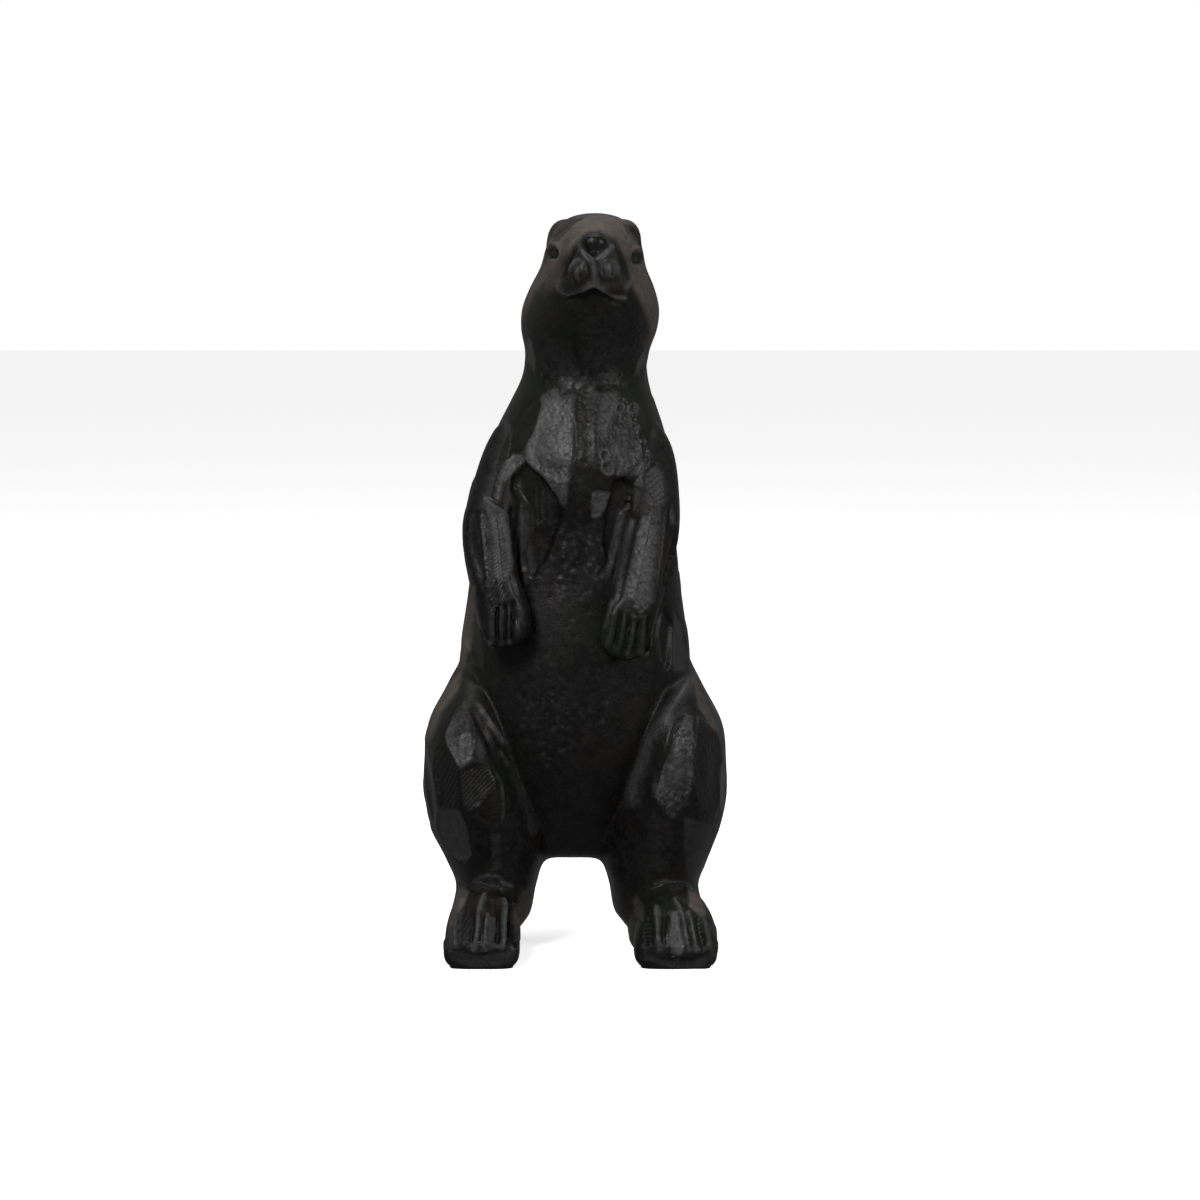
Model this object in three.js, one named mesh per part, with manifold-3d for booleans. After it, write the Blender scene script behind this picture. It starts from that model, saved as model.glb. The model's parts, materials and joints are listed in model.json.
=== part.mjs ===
// Rabbit figurine: one block of black stone, carved as an animal standing upright on its hind legs
// with its head thrown back, its forearms hanging on its belly and its ears laid along its nape.
// Millimetres, +Z up. It faces -Y, and the origin is on the ground under the middle of the figure.
import * as THREE from "three";
import { mergeVertices } from "three/addons/utils/BufferGeometryUtils.js";
import Module from "manifold-3d";

const wasm = await Module();
wasm.setup();

// Driving dimensions of the figure
const figureHeight = 251.4;
const shoulderHeight = 140; // the spine is plumb below this
const headLean = 6.7; // how far the crown is off to +X
const crotchHeight = 30;
const stance = 31; // from the middle of the figure to the middle of each leg
const footLength = 79.5;
const heelBack = 31; // from the middle of the figure back to the heel's centre
const eyeHeight = 239;
const noseHeight = 241.6;
const lipHeight = 228;
const clawGroove = 1.3; // radius of the clefts between the toes
const fingerGroove = 1;

// Merges a geometry into one closed solid, turned right side out.
function solid(geometry) {
  const bare = geometry.clone();
  bare.deleteAttribute("normal");
  bare.deleteAttribute("uv");
  const merged = mergeVertices(bare, 1e-4);
  const make = (triangles) =>
    new wasm.Manifold(
      new wasm.Mesh({ numProp: 3, vertProperties: merged.attributes.position.array, triVerts: triangles }),
    );
  const triangles = new Uint32Array(merged.index.array);
  const made = make(triangles);
  return made.volume() > 0 ? made : make(triangles.map((_, i) => triangles[i - (i % 3) + 2 - (i % 3)]));
}

// Smooth value between stations: each column of the rows is a spline through the first column.
function between(rows, share) {
  const place = share * (rows.length - 1);
  const i = Math.min(Math.floor(place), rows.length - 2);
  const f = place - i;
  const row = (k) => rows[Math.max(0, Math.min(rows.length - 1, k))];
  return row(i).map((b, c) => {
    const [a, d, e] = [row(i - 1)[c], row(i + 1)[c], row(i + 2)[c]];
    return b + 0.5 * f * (d - a + f * (2 * a - 5 * b + 4 * d - e + f * (3 * (b - d) + e - a)));
  });
}

const power = (value, exponent) => Math.sign(value) * Math.abs(value) ** exponent;

// A closed rounded form along a spine. A station is [x, y, z, half width, front, back]: a point of the
// spine and the sizes of the section there, across X and to either side of the spine. A seventh number
// under 2 makes the front of the section pointed. An upright form has level sections. Any other form
// has them square to its spine.
function form(stations, { around, along, square = 2, cap = 0.1, upright = false }) {
  const geometry = new THREE.SphereGeometry(1, around, along);
  const { position, uv } = geometry.attributes;
  const across = new THREE.Vector3(1, 0, 0);
  const ahead = new THREE.Vector3();
  const front = new THREE.Vector3();
  const point = new THREE.Vector3();
  const side = new THREE.Vector3();
  for (let i = 0; i < position.count; i += 1) {
    const turn = 2 * Math.PI * uv.getX(i);
    const even = 1 - uv.getY(i);
    const share = even - (0.6 * Math.sin(2 * Math.PI * even)) / (2 * Math.PI);
    const [x, y, z, width, fore, rear, frontSquare = square] = between(stations, share);
    const [low, high] = [Math.max(0, share - 0.01), Math.min(1, share + 0.01)];
    const [a, b] = [between(stations, low), between(stations, high)];
    ahead.set(b[0] - a[0], b[1] - a[1], b[2] - a[2]).normalize();
    if (upright) ahead.set(0, 0, -1);
    side.copy(across).addScaledVector(ahead, -across.dot(ahead)).normalize();
    front.crossVectors(ahead, side);
    const end = Math.min(1, Math.min(share, 1 - share) / cap);
    const round = Math.sqrt(Math.max(0, 1 - (1 - end) ** 2));
    const corner = 2 / (Math.sin(turn) > 0 ? frontSquare : square);
    const u = power(Math.cos(turn), corner) * width * round;
    const v = power(Math.sin(turn), corner);
    point.set(x, y, z).addScaledVector(side, u);
    point.addScaledVector(front, v * (v > 0 ? fore : rear) * round);
    position.setXYZ(i, point.x, point.y, point.z);
  }
  return solid(geometry);
}

// How far the spine is off to +X at a height
const lean = (z) => headLean * THREE.MathUtils.smoothstep(z, shoulderHeight, figureHeight);

// Head, neck and trunk in one, from the crown down to the crotch. The face runs out to a narrow front,
// the jowls are the widest part of the head, and the shoulders and upper arms lie in the sides.
// Rows are [z, y, half width, front, back, squareness of the front].
const body = form(
  [
    [figureHeight, 4, 5, 13, 9, 2],
    [249, 3, 10, 27, 13, 1.8],
    [245, 1, 14.1, 38.5, 17, 1.55],
    [239.5, 0, 16.4, 43.5, 19, 1.55],
    [233, 0, 18, 42.5, 20.5, 1.7],
    [226, 0, 21.2, 39.5, 21, 1.75],
    [219, 0, 23.3, 35, 21.5, 1.85],
    [212, 0, 23.1, 30, 22, 1.95],
    [204, 1, 21.1, 26, 22.5, 2.05],
    [196, 2, 21.4, 25.5, 24.5, 2.15],
    [188, 2, 24.4, 28, 27, 2.15],
    [179, 2, 28.2, 31, 30, 2.15],
    [169, 2, 31.4, 34, 32.5, 2.15],
    [157, 2, 33.4, 34, 34.5, 2.15],
    [144, 2, 34.6, 32.4, 36, 2.15],
    [131, 2, 35.6, 32, 37.2, 2.15],
    [118, 2, 37.2, 33.4, 38.6, 2.15],
    [104, 2, 39.2, 34.5, 40, 2.15],
    [89, 2, 39.4, 34, 41, 2.15],
    [74, 2, 37.6, 31.4, 40.6, 2.15],
    [60, 3, 34.2, 26.6, 38.4, 2.15],
    [47, 4, 29.6, 20, 33, 2.3],
    [37, 5, 25.6, 14, 27, 2.6],
    [crotchHeight, 5, 22, 10, 22, 3],
  ].map(([z, y, width, front, back, square]) => [lean(z), y, z, width, front, back, square]),
  { around: 24, along: 36, square: 2.15, cap: 0.03, upright: true },
);

// A leg's haunch and shank, from the hip down into the foot. Side is -1 or 1, and the shank's widths
// are given at the calf and at the ankle. Rows are [x past the stance, y, z, half width, front, back].
const haunch = (side, calf, ankle) =>
  form(
    [
      [-1, 14, 108, 5, 6, 8],
      [1.2, 10, 99, 7, 17, 20],
      [3.2, 5, 89, 10.2, 29, 32],
      [4.8, 1.5, 77, 14.8, 37, 38.5],
      [4.4, -0.5, 65, 16.4, 37.5, 39.5],
      [2.6, -1, 53, 18.4, 35, 37],
      [-0.6, -1, 42, 19.4, 30.5, 32],
      [-3.2, 0, 32, calf, 27, 28],
      [-3.9, 1, 22, ankle, 25.5, 26.5],
      [-2.1, 2, 12, ankle - 0.2, 24, 26],
      [-0.4, 2, 3, 11, 22, 24],
    ].map(([out, ...rest]) => [side * (stance + out), ...rest]),
    { around: 18, along: 16, square: 2.2, upright: true },
  );

const instep = 1.95; // squareness of the top of a foot

// A hind foot from the heel to the toes, cut flat at the ground later. The toes turn out by a little.
// Rows are [share of the length, x past the stance, z, half width less the widest, top, bottom].
const foot = (side, turnOut, widest) =>
  form(
    [
      [0, -0.4, 6, -4, 9, 8],
      [0.19, 0, 7, -2.4, 14, 9],
      [0.39, 0, 8, -1.4, 18, 10],
      [0.59, 0.2, 8, -0.8, 18.5, 10],
      [0.73, turnOut, 8, -0.2, 17, 10],
      [0.84, turnOut, 7, 0.2, 13, 9],
      [0.94, turnOut, 5, 0.1, 9, 6.8],
      [1, turnOut, 4, -1.2, 6, 5.4],
    ].map(([share, out, z, less, top, bottom]) => [
      side * (stance + out),
      heelBack - share * footLength,
      z,
      widest + less,
      top,
      bottom,
      instep,
    ]),
    { around: 16, along: 12, square: 2.5 },
  );

// A fore leg, from the shoulder down to the finger tips
const arm = (stations) => form(stations, { around: 13, along: 14, square: 2.2, cap: 0.09 });
const leftArm = arm([
  [-18.6, -6, 179, 7, 8, 8],
  [-22, -12, 169, 9, 10.4, 9],
  [-25.8, -19, 157, 9.2, 10.4, 10],
  [-28.6, -27, 144.5, 9.3, 9, 9.6],
  [-27.4, -33, 131, 8.4, 7.6, 8],
  [-24, -36, 119.5, 8.8, 6, 7],
  [-23, -38, 107, 7.4, 4.4, 5],
]);
const rightArm = arm([
  [20.4, -6, 179, 7.6, 8, 8],
  [24, -12, 169, 9.4, 10.4, 9],
  [25.6, -19, 157, 9.5, 10.4, 10],
  [25.6, -28, 144.5, 9.2, 9, 9.6],
  [22.4, -34, 130, 8.4, 7.6, 8],
  [17.8, -37.5, 117, 9, 6, 7],
  [14.8, -39, 103, 7.4, 4.4, 5],
]);

// The breast, which hangs over the tops of the arms
const breast = form(
  [
    [3.2, -4, 200, 16, 17, 12],
    [2.8, -5, 190, 21, 21, 14],
    [2.2, -6, 180, 24.4, 25.5, 14],
    [1.6, -7, 170, 26, 28, 14],
    [1.4, -8, 160, 21, 27, 14],
    [1.6, -8, 151, 12, 25, 12],
    [1.8, -8, 144, 5, 20, 10],
  ],
  { around: 18, along: 13, square: 2.1, upright: true },
);

// The muzzle, narrow under the nose and wide at the lips
const muzzle = form(
  [
    [6.4, -20, 246.5, 5, 18, 10],
    [6.4, -20, 241, 7.2, 22.4, 10],
    [6.2, -20, 236, 9.4, 23, 10],
    [6.1, -20, 231, 11.4, 22.8, 10],
    [6, -20, lipHeight - 1, 12.6, 21.4, 10],
    [6, -19, 223.6, 11.4, 18.6, 10],
  ],
  { around: 16, along: 9, square: 2.7, cap: 0.16, upright: true },
);

// A small knob of the face, given by its centre and its half sizes
function knob([x, y, z], [width, depth, height]) {
  return solid(new THREE.SphereGeometry(1, 10, 6).scale(width, depth, height).translate(x, y, z));
}

// An ear laid back along the nape, broad and thin. Rows are [out from the lean, y, z, half width, rest].
const ear = (side) =>
  form(
    [
      [9, 3, 247.5, 4, 3, 3],
      [10.2, 12.5, 244, 5.6, 3.2, 3],
      [10.4, 19, 235, 6.4, 3.4, 3.4],
      [10.4, 21.4, 221, 6.8, 3.4, 3.4],
      [9.4, 24, 207, 5.2, 3.4, 3],
      [8.6, 27.4, 194, 2.6, 2.6, 2.4],
    ].map(([out, y, z, ...sizes]) => [lean(z) + side * out, y, z, ...sizes]),
    { around: 12, along: 10, square: 2.1, cap: 0.12 },
  );

const tail = form(
  [
    [0, 34, 62, 6, 6, 6],
    [0, 39, 55, 8.6, 7, 7],
    [0, 41, 44, 8.6, 7, 7],
    [0, 36, 33, 6, 6, 6],
  ],
  { around: 12, along: 8, cap: 0.3 },
);

const masses = [
  haunch(-1, 17.2, 13.9),
  haunch(1, 18.6, 15.4),
  foot(-1, 0.3, 12.6),
  foot(1, 2.8, 13.9),
  leftArm,
  rightArm,
  breast,
  muzzle,
  knob([1.8, -40.6, 232.8], [3.4, 2.6, 3.9]),
  knob([10.8, -40.6, 233.4], [3.5, 2.6, 4]),
  knob([6.4, -40.2, noseHeight], [4.6, 3.6, 3.8]),
  ear(-1),
  ear(1),
  tail,
];
const block = masses.reduce((whole, mass) => whole.add(mass), body);

function geometryOf(made) {
  const mesh = made.getMesh();
  const geometry = new THREE.BufferGeometry();
  geometry.setAttribute("position", new THREE.BufferAttribute(new Float32Array(mesh.vertProperties), 3));
  geometry.setIndex(new THREE.BufferAttribute(new Uint32Array(mesh.triVerts), 1));
  geometry.computeVertexNormals();
  return geometry;
}

// The carving is laid out on the front or the back of the block: a place is [x, z], and a ray finds the
// stone there. From is -1 for the front and 1 for the back.
const uncarved = new THREE.Mesh(geometryOf(block), new THREE.MeshBasicMaterial());
const ray = new THREE.Raycaster();
function skin(x, z, outwards = 0, from = -1) {
  ray.set(new THREE.Vector3(x, from * 200, z), new THREE.Vector3(0, -from, 0));
  const [hit] = ray.intersectObject(uncarved);
  return hit.point.addScaledVector(hit.face.normal, outwards);
}

// A round-bottomed channel cut along a line. It runs out to nothing at its upper end, and at its lower
// end too unless it is left open there.
function groove(line, radius, depth, { from = -1, open = false } = {}) {
  const last = line.length - 1;
  const lift = (i) => (i === 0 || (i === last && !open) ? radius : radius - depth);
  const path = new THREE.CatmullRomCurve3(line.map(([x, z], i) => skin(x, z, lift(i), from)));
  const corners = Array.from({ length: 6 }, (_, i) => {
    const turn = (Math.PI * i) / 3;
    return new THREE.Vector2(radius * Math.cos(turn), radius * Math.sin(turn));
  });
  const steps = Math.max(3, Math.round(path.getLength() / 6));
  return solid(
    new THREE.ExtrudeGeometry(new THREE.Shape(corners), { steps, bevelEnabled: false, extrudePath: path }),
  );
}

// A flat cut that faces this way, as deep as given under the place, over a patch of this size
function facet(x, z, facing, depth, width, height) {
  const normal = new THREE.Vector3(...facing).normalize();
  const place = skin(x, z).addScaledVector(normal, -depth);
  const level = new THREE.Vector3(0, 0, 1).cross(normal).normalize();
  const upward = new THREE.Vector3().crossVectors(normal, level);
  const chip = new THREE.BoxGeometry(width, height, 30).translate(0, 0, 15);
  chip.applyMatrix4(new THREE.Matrix4().makeBasis(level, upward, normal).setPosition(place));
  return solid(chip);
}

// A cleft between two toes, fanned out from the middle of the foot
function toeCleft(x, centre) {
  const fan = (share) => centre + (x - centre) * share;
  return groove([[fan(0.7), 26], [fan(0.85), 19], [x, 11], [x, 1]], clawGroove, clawGroove, { open: true });
}

// A cleft between two fingers, which drifts sideways by the slant on its way up
function fingerCleft(x, slant, tip) {
  const line = [19, 12, 6, 0].map((up) => [x + (slant * up) / 19, tip + up]);
  return groove(line, fingerGroove, 0.9);
}

// The fold down the middle of an ear, which lies this far out from the lean
function earFold(out) {
  const line = [240, 232, 220, 207].map((z) => [lean(z) + out, z]);
  return groove(line, 2.4, 1.2, { from: 1 });
}

const eyeCentres = [
  [-8, eyeHeight],
  [20.8, eyeHeight - 1.6],
];
// The lips sag to either side of the middle and turn up at the corners.
const mouth = [
  [-6.4, 3],
  [-4.6, -0.6],
  [-2, -2],
  [6, 0.4],
  [13.6, -2],
  [16.4, -0.6],
  [18.2, 3],
].map(([x, up]) => [x, lipHeight + up]);
const cuts = [
  // chest: two broad planes with the breastbone between them
  facet(-8, 178, [-0.3, -0.9, 0.3], 1.2, 30, 40),
  facet(15, 176, [0.34, -0.89, 0.3], 1.2, 24, 36),
  groove([[2.6, 204], [2.5, 192], [2.2, 178], [2, 162], [2, 150]], 4.5, 1.5),
  // pockets between the forearms and the belly
  groove([[-17.6, 170], [-16.4, 160], [-15, 148], [-14.6, 137], [-15.6, 122]], 5.4, 4.4),
  groove([[17, 166], [15, 156], [13, 145], [11, 134], [9, 120]], 4.6, 3.6),
  // forearms
  facet(-25.8, 144, [-0.12, -0.96, 0.26], 1.2, 12, 30),
  facet(-35, 146, [-0.85, -0.52, 0.05], 0.8, 14, 40),
  facet(22.6, 138, [0.12, -0.96, 0.26], 1.2, 12, 32),
  facet(27.6, 161, [0.42, -0.86, 0.28], 1, 12, 22),
  // hollow of the flank behind the right hand
  groove([[30.4, 125], [31.6, 117], [32.4, 107], [32.6, 95]], 5, 2.2),
  // thighs
  facet(-38.6, 76, [-0.42, -0.84, 0.34], 1.6, 16, 24),
  facet(-44, 62, [-0.84, -0.54, -0.04], 1.6, 22, 26),
  facet(-31, 58, [0.12, -0.98, -0.14], 1.4, 18, 26),
  facet(-40, 42, [-0.52, -0.8, -0.3], 1.2, 22, 22),
  facet(35, 71, [0.1, -0.96, 0.26], 1.8, 16, 32),
  facet(45, 66, [0.84, -0.54, 0.02], 1.6, 22, 36),
  facet(42, 42, [0.55, -0.78, -0.3], 1.2, 22, 22),
  // clefts between the toes and between the fingers
  ...[-39.6, -33.8, -29, -24.4].map((x) => toeCleft(x, -stance)),
  ...[26.6, 31, 37, 42.4].map((x) => toeCleft(x, stance + 3)),
  ...[-27.6, -24, -20.4].map((x) => fingerCleft(x, 0.2, 105)),
  ...[10.6, 14.2, 18].map((x) => fingerCleft(x, 3, 101.5)),
  // mouth, and the cleft that runs down to it from the nose
  groove(mouth, 1, 0.9),
  groove([[6, 239], [6, 236], [6, 232], [6, lipHeight - 1.6]], 0.9, 0.9, { open: true }),
  // eye sockets
  ...eyeCentres.map(([x, z]) => knob(skin(x, z, 1.2).toArray(), [3.6, 3.6, 3.6])),
  // folds of the ears
  ...[-10.6, 10.2].map(earFold),
];
const eyes = eyeCentres.map(([x, z]) => knob(skin(x, z, -1.6).toArray(), [2.9, 2.9, 2.9]));
const ground = solid(new THREE.BoxGeometry(400, 400, 60).translate(0, 0, -30));
const carved = cuts.reduce((whole, cut) => whole.subtract(cut), block);
const figure = eyes.reduce((whole, eye) => whole.add(eye), carved).subtract(ground);

const geometry = geometryOf(figure);
geometry.computeBoundingBox();
const centre = geometry.boundingBox.getCenter(new THREE.Vector3());
geometry.translate(-centre.x, -centre.y, 0);

const blackStone = new THREE.MeshStandardMaterial({ color: 0x1d1b1a, roughness: 0.42, metalness: 0 });
const figurine = new THREE.Mesh(geometry, blackStone);
figurine.name = "rabbit_figurine";

const model = new THREE.Group();
model.add(figurine);

export default model;
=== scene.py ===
import json
import math

import bmesh
import bpy
import numpy as np
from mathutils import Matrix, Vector
from mathutils.kdtree import KDTree

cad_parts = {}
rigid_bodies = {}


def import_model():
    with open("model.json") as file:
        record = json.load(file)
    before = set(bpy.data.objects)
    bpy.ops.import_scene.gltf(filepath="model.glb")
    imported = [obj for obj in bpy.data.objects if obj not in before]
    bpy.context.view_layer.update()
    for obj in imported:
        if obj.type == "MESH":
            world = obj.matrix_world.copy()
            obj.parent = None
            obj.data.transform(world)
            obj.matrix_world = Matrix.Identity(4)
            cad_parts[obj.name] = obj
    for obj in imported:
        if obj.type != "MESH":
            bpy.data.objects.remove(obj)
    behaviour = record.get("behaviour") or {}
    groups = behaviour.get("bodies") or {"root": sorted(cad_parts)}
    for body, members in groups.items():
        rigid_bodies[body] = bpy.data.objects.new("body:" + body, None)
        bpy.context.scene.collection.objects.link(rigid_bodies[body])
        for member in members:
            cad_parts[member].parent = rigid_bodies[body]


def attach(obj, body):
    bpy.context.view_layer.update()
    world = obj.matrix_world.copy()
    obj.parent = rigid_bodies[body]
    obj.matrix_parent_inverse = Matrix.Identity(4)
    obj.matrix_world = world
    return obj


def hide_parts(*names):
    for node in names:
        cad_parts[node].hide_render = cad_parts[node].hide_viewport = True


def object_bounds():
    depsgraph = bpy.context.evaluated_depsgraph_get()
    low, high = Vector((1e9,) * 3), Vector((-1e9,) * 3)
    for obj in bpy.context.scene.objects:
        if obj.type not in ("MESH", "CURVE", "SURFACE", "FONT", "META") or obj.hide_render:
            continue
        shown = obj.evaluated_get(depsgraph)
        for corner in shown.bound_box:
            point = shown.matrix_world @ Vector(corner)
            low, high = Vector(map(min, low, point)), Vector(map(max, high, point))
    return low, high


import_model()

for spare in [thing for thing in bpy.data.objects if thing.name in ("Cube", "Light", "Camera")]:
    bpy.data.objects.remove(spare)
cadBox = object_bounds()
pieceName = "carved_rabbit"
print("frame loaded")

# camera, light and floor
picture = {
    "size": 1200,  # pixels each way
    "aim": (0.0, 0.0005, 0.125),
    "rise": 5.0,  # degrees above level
    "away": 1.5,  # metres from the aim
    "scale": 2924.2,  # pixels a metre at the aim
    "shift": (25.0, -16.0),  # pixels that the figure is off the middle, to the left and up
}


def lookingFrom(azimuth, rise):
    turn, tilt = math.radians(azimuth), math.radians(rise)
    back = np.array([math.sin(turn) * math.cos(tilt), -math.cos(turn) * math.cos(tilt), math.sin(tilt)])
    right = np.array([math.cos(turn), math.sin(turn), 0.0])
    return back, right, np.cross(back, right)


def makeCamera():
    back, right, up = lookingFrom(0, picture["rise"])
    data = bpy.data.cameras.new("camera")
    data.sensor_width = 36
    data.lens = 36 * picture["scale"] * picture["away"] / picture["size"]
    data.shift_x = picture["shift"][0] / picture["size"]
    data.shift_y = picture["shift"][1] / picture["size"]
    data.clip_end = 20
    camera = bpy.data.objects.new("camera", data)
    bpy.context.collection.objects.link(camera)
    camera.location = Vector(picture["aim"]) + Vector(back) * picture["away"]
    camera.rotation_euler = Vector(back).to_track_quat("Z", "Y").to_euler()
    bpy.context.scene.camera = camera


studio = {
    "surroundings": 0.21,  # soft light from all round
    "backdrop": 1.0,
    "floor": (0.9, 0.9, 0.9, 1),
    "floorGlow": 0.7,
    "key": {"at": (-0.45, -1.1, 0.95), "size": 0.4, "power": 16},
    "side": {"at": (1.0, -0.8, 0.6), "size": 0.35, "power": 7},
    "top": {"at": (0.0, 0.3, 1.6), "size": 1.2, "power": 12},
}


def makeLight(name, at, size, power):
    data = bpy.data.lights.new(name, "AREA")
    data.shape = "SQUARE"
    data.size = size
    data.energy = power
    light = bpy.data.objects.new(name, data)
    bpy.context.collection.objects.link(light)
    light.location = at
    light.rotation_euler = (Vector(at) - Vector((0, 0, 0.13))).to_track_quat("Z", "Y").to_euler()


def makeStudio():
    bpy.context.scene.view_settings.view_transform = "Standard"
    world = bpy.data.worlds.new("studio")
    world.use_nodes = True
    tree = world.node_tree
    background = tree.nodes["Background"]
    background.inputs["Color"].default_value = (1, 1, 1, 1)
    seen = tree.nodes.new("ShaderNodeLightPath")
    strength = tree.nodes.new("ShaderNodeMapRange")  # the backdrop is white, the light on the stone is softer
    strength.inputs["To Min"].default_value = studio["surroundings"]
    strength.inputs["To Max"].default_value = studio["backdrop"]
    tree.links.new(seen.outputs["Is Camera Ray"], strength.inputs["Value"])
    tree.links.new(strength.outputs["Result"], background.inputs["Strength"])
    bpy.context.scene.world = world
    for name in ("key", "side", "top"):
        makeLight(name, **studio[name])
    shape = bmesh.new()
    bmesh.ops.create_grid(shape, x_segments=1, y_segments=1, size=6)
    mesh = bpy.data.meshes.new("floor")
    shape.to_mesh(mesh)
    shape.free()
    floor = bpy.data.objects.new("floor", mesh)
    bpy.context.collection.objects.link(floor)
    pale = bpy.data.materials.new("paleFloor")
    pale.use_nodes = True
    surface = pale.node_tree.nodes["Principled BSDF"]
    surface.inputs["Base Color"].default_value = studio["floor"]
    surface.inputs["Roughness"].default_value = 0.8
    surface.inputs["Emission Color"].default_value = (1, 1, 1, 1)
    surface.inputs["Emission Strength"].default_value = studio["floorGlow"]
    mesh.materials.append(pale)
    floor.visible_diffuse = False
    floor.visible_glossy = False


makeCamera()
makeStudio()
print("camera and studio made")

# the masses of the block, in millimetres
block = {
    "centreLine": 0.546,  # the block's middle is this far behind the line that the masses are drawn on
    "headLean": 6.7,
    "shoulderHeight": 140,
    "height": 251.4,
    "skin": 0.7,  # size of the cells that join the masses
    "roundings": 7,  # rounds of smoothing where masses meet
    "mostTriangles": 192000,
}
# each row: height, place front to back, half width, reach to the front and to the back, squareness
bodyRows = [
    (251.4, 4, 5, 13, 9, 2),
    (249, 3, 10, 27, 13, 1.8),
    (245, 1, 14.1, 38.5, 17, 1.55),
    (239.5, 0, 16.4, 43.5, 19, 1.55),
    (233, 0, 18, 42.5, 20.5, 1.7),
    (226, 0, 21.2, 39.5, 21, 1.75),
    (219, 0, 23.3, 35, 21.5, 1.85),
    (212, 0, 23.1, 30, 22, 1.95),
    (204, 1, 21.1, 26, 22.5, 2.05),
    (196, 2, 21.4, 25.5, 24.5, 2.15),
    (188, 2, 24.4, 28, 27, 2.15),
    (179, 2, 28.2, 31, 30, 2.15),
    (169, 2, 31.4, 34, 32.5, 2.15),
    (157, 2, 33.4, 34, 34.5, 2.15),
    (144, 2, 34.6, 32.4, 36, 2.15),
    (131, 2, 35.6, 32, 37.2, 2.15),
    (118, 2, 37.2, 33.4, 38.6, 2.15),
    (104, 2, 39.2, 34.5, 40, 2.15),
    (89, 2, 39.4, 34, 41, 2.15),
    (74, 2, 37.6, 31.4, 40.6, 2.15),
    (60, 3, 34.2, 26.6, 38.4, 2.15),
    (47, 4, 29.6, 20, 33, 2.3),
    (37, 5, 25.6, 14, 27, 2.6),
    (30, 5, 22, 10, 22, 3),
]
# each row below: across, front to back, height, half width, reach to the front and to the back
rightArmRows = [
    (-18.6, -6, 179, 7, 8, 8),
    (-22, -12, 169, 9, 10.4, 9),
    (-25.8, -19, 157, 9.2, 10.4, 10),
    (-28.6, -27, 144.5, 9.3, 9, 9.6),
    (-27.4, -33, 131, 8.4, 7.6, 8),
    (-24, -36, 119.5, 8.8, 6, 7),
    (-23, -38, 107, 7.4, 4.4, 5),
]
leftArmRows = [
    (20.4, -6, 179, 7.6, 8, 8),
    (24, -12, 169, 9.4, 10.4, 9),
    (25.6, -19, 157, 9.5, 10.4, 10),
    (25.6, -28, 144.5, 9.2, 9, 9.6),
    (22.4, -34, 130, 8.4, 7.6, 8),
    (17.8, -37.5, 117, 9, 6, 7),
    (14.8, -39, 103, 7.4, 4.4, 5),
]
breastRows = [
    (3.2, -4, 200, 16, 17, 12),
    (2.8, -5, 190, 21, 21, 14),
    (2.2, -6, 180, 24.4, 25.5, 14),
    (1.6, -7, 170, 26, 28, 14),
    (1.4, -8, 160, 21, 27, 14),
    (1.6, -8, 151, 12, 25, 12),
    (1.8, -8, 144, 5, 20, 10),
]
muzzleRows = [
    (6.4, -20, 246.5, 5, 18, 10),
    (6.4, -20, 241, 7.2, 22.4, 10),
    (6.2, -20, 236, 9.4, 23, 10),
    (6.1, -20, 231, 11.4, 22.8, 10),
    (6, -20, 227, 12.6, 21.4, 10),
    (6, -19, 223.6, 11.4, 18.6, 10),
]
nose = {"centre": (6.4, -40.2, 241.6), "size": (4.6, 3.6, 3.8)}
earRows = [
    (9, 3, 247.5, 4, 3, 3),
    (10.2, 12.5, 244, 5.6, 3.2, 3),
    (10.4, 19, 235, 6.4, 3.4, 3.4),
    (10.4, 21.4, 221, 6.8, 3.4, 3.4),
    (9.4, 24, 207, 5.2, 3.4, 3),
    (8.6, 27.4, 194, 2.6, 2.6, 2.4),
]
tailRows = [
    (0, 34, 62, 6, 6, 6),
    (0, 39, 55, 8.6, 7, 7),
    (0, 41, 44, 8.6, 7, 7),
    (0, 36, 33, 6, 6, 6),
]
legs = {
    "stance": 31, "footLength": 79.5, "heelBack": 31, "instep": 1.95,
    "right": {"calf": 17.2, "ankle": 13.9, "turnOut": 0.3, "widest": 12.6},
    "left": {"calf": 18.6, "ankle": 15.4, "turnOut": 2.8, "widest": 13.9},
}


def smoothStep(value, low, high):
    share = np.clip((value - low) / (high - low), 0, 1)
    return share * share * (3 - 2 * share)


def lean(z):
    return block["headLean"] * float(smoothStep(z, block["shoulderHeight"], block["height"]))


def between(rows, share):
    place = share * (len(rows) - 1)
    i = np.minimum(place.astype(int), len(rows) - 2)
    f = (place - i)[:, None]
    a, b, d, e = (rows[np.clip(i + k, 0, len(rows) - 1)] for k in (-1, 0, 1, 2))
    return b + 0.5 * f * (d - a + f * (2 * a - 5 * b + 4 * d - e + f * (3 * (b - d) + e - a)))


def power(value, exponent):
    return np.sign(value) * np.abs(value) ** exponent


def addShape(whole, shape):
    part = bpy.data.meshes.new("part")
    shape.to_mesh(part)
    shape.free()
    whole.from_mesh(part)
    bpy.data.meshes.remove(part)


def cutAtGround(shape):
    if min(vert.co.z for vert in shape.verts) >= 0:
        return
    everything = shape.verts[:] + shape.edges[:] + shape.faces[:]
    cut = bmesh.ops.bisect_plane(
        shape, geom=everything, plane_co=(0, 0, 0), plane_no=(0, 0, -1), clear_outer=True
    )
    rim = [part for part in cut["geom_cut"] if isinstance(part, bmesh.types.BMEdge)]
    bmesh.ops.contextual_create(shape, geom=rim)


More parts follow.
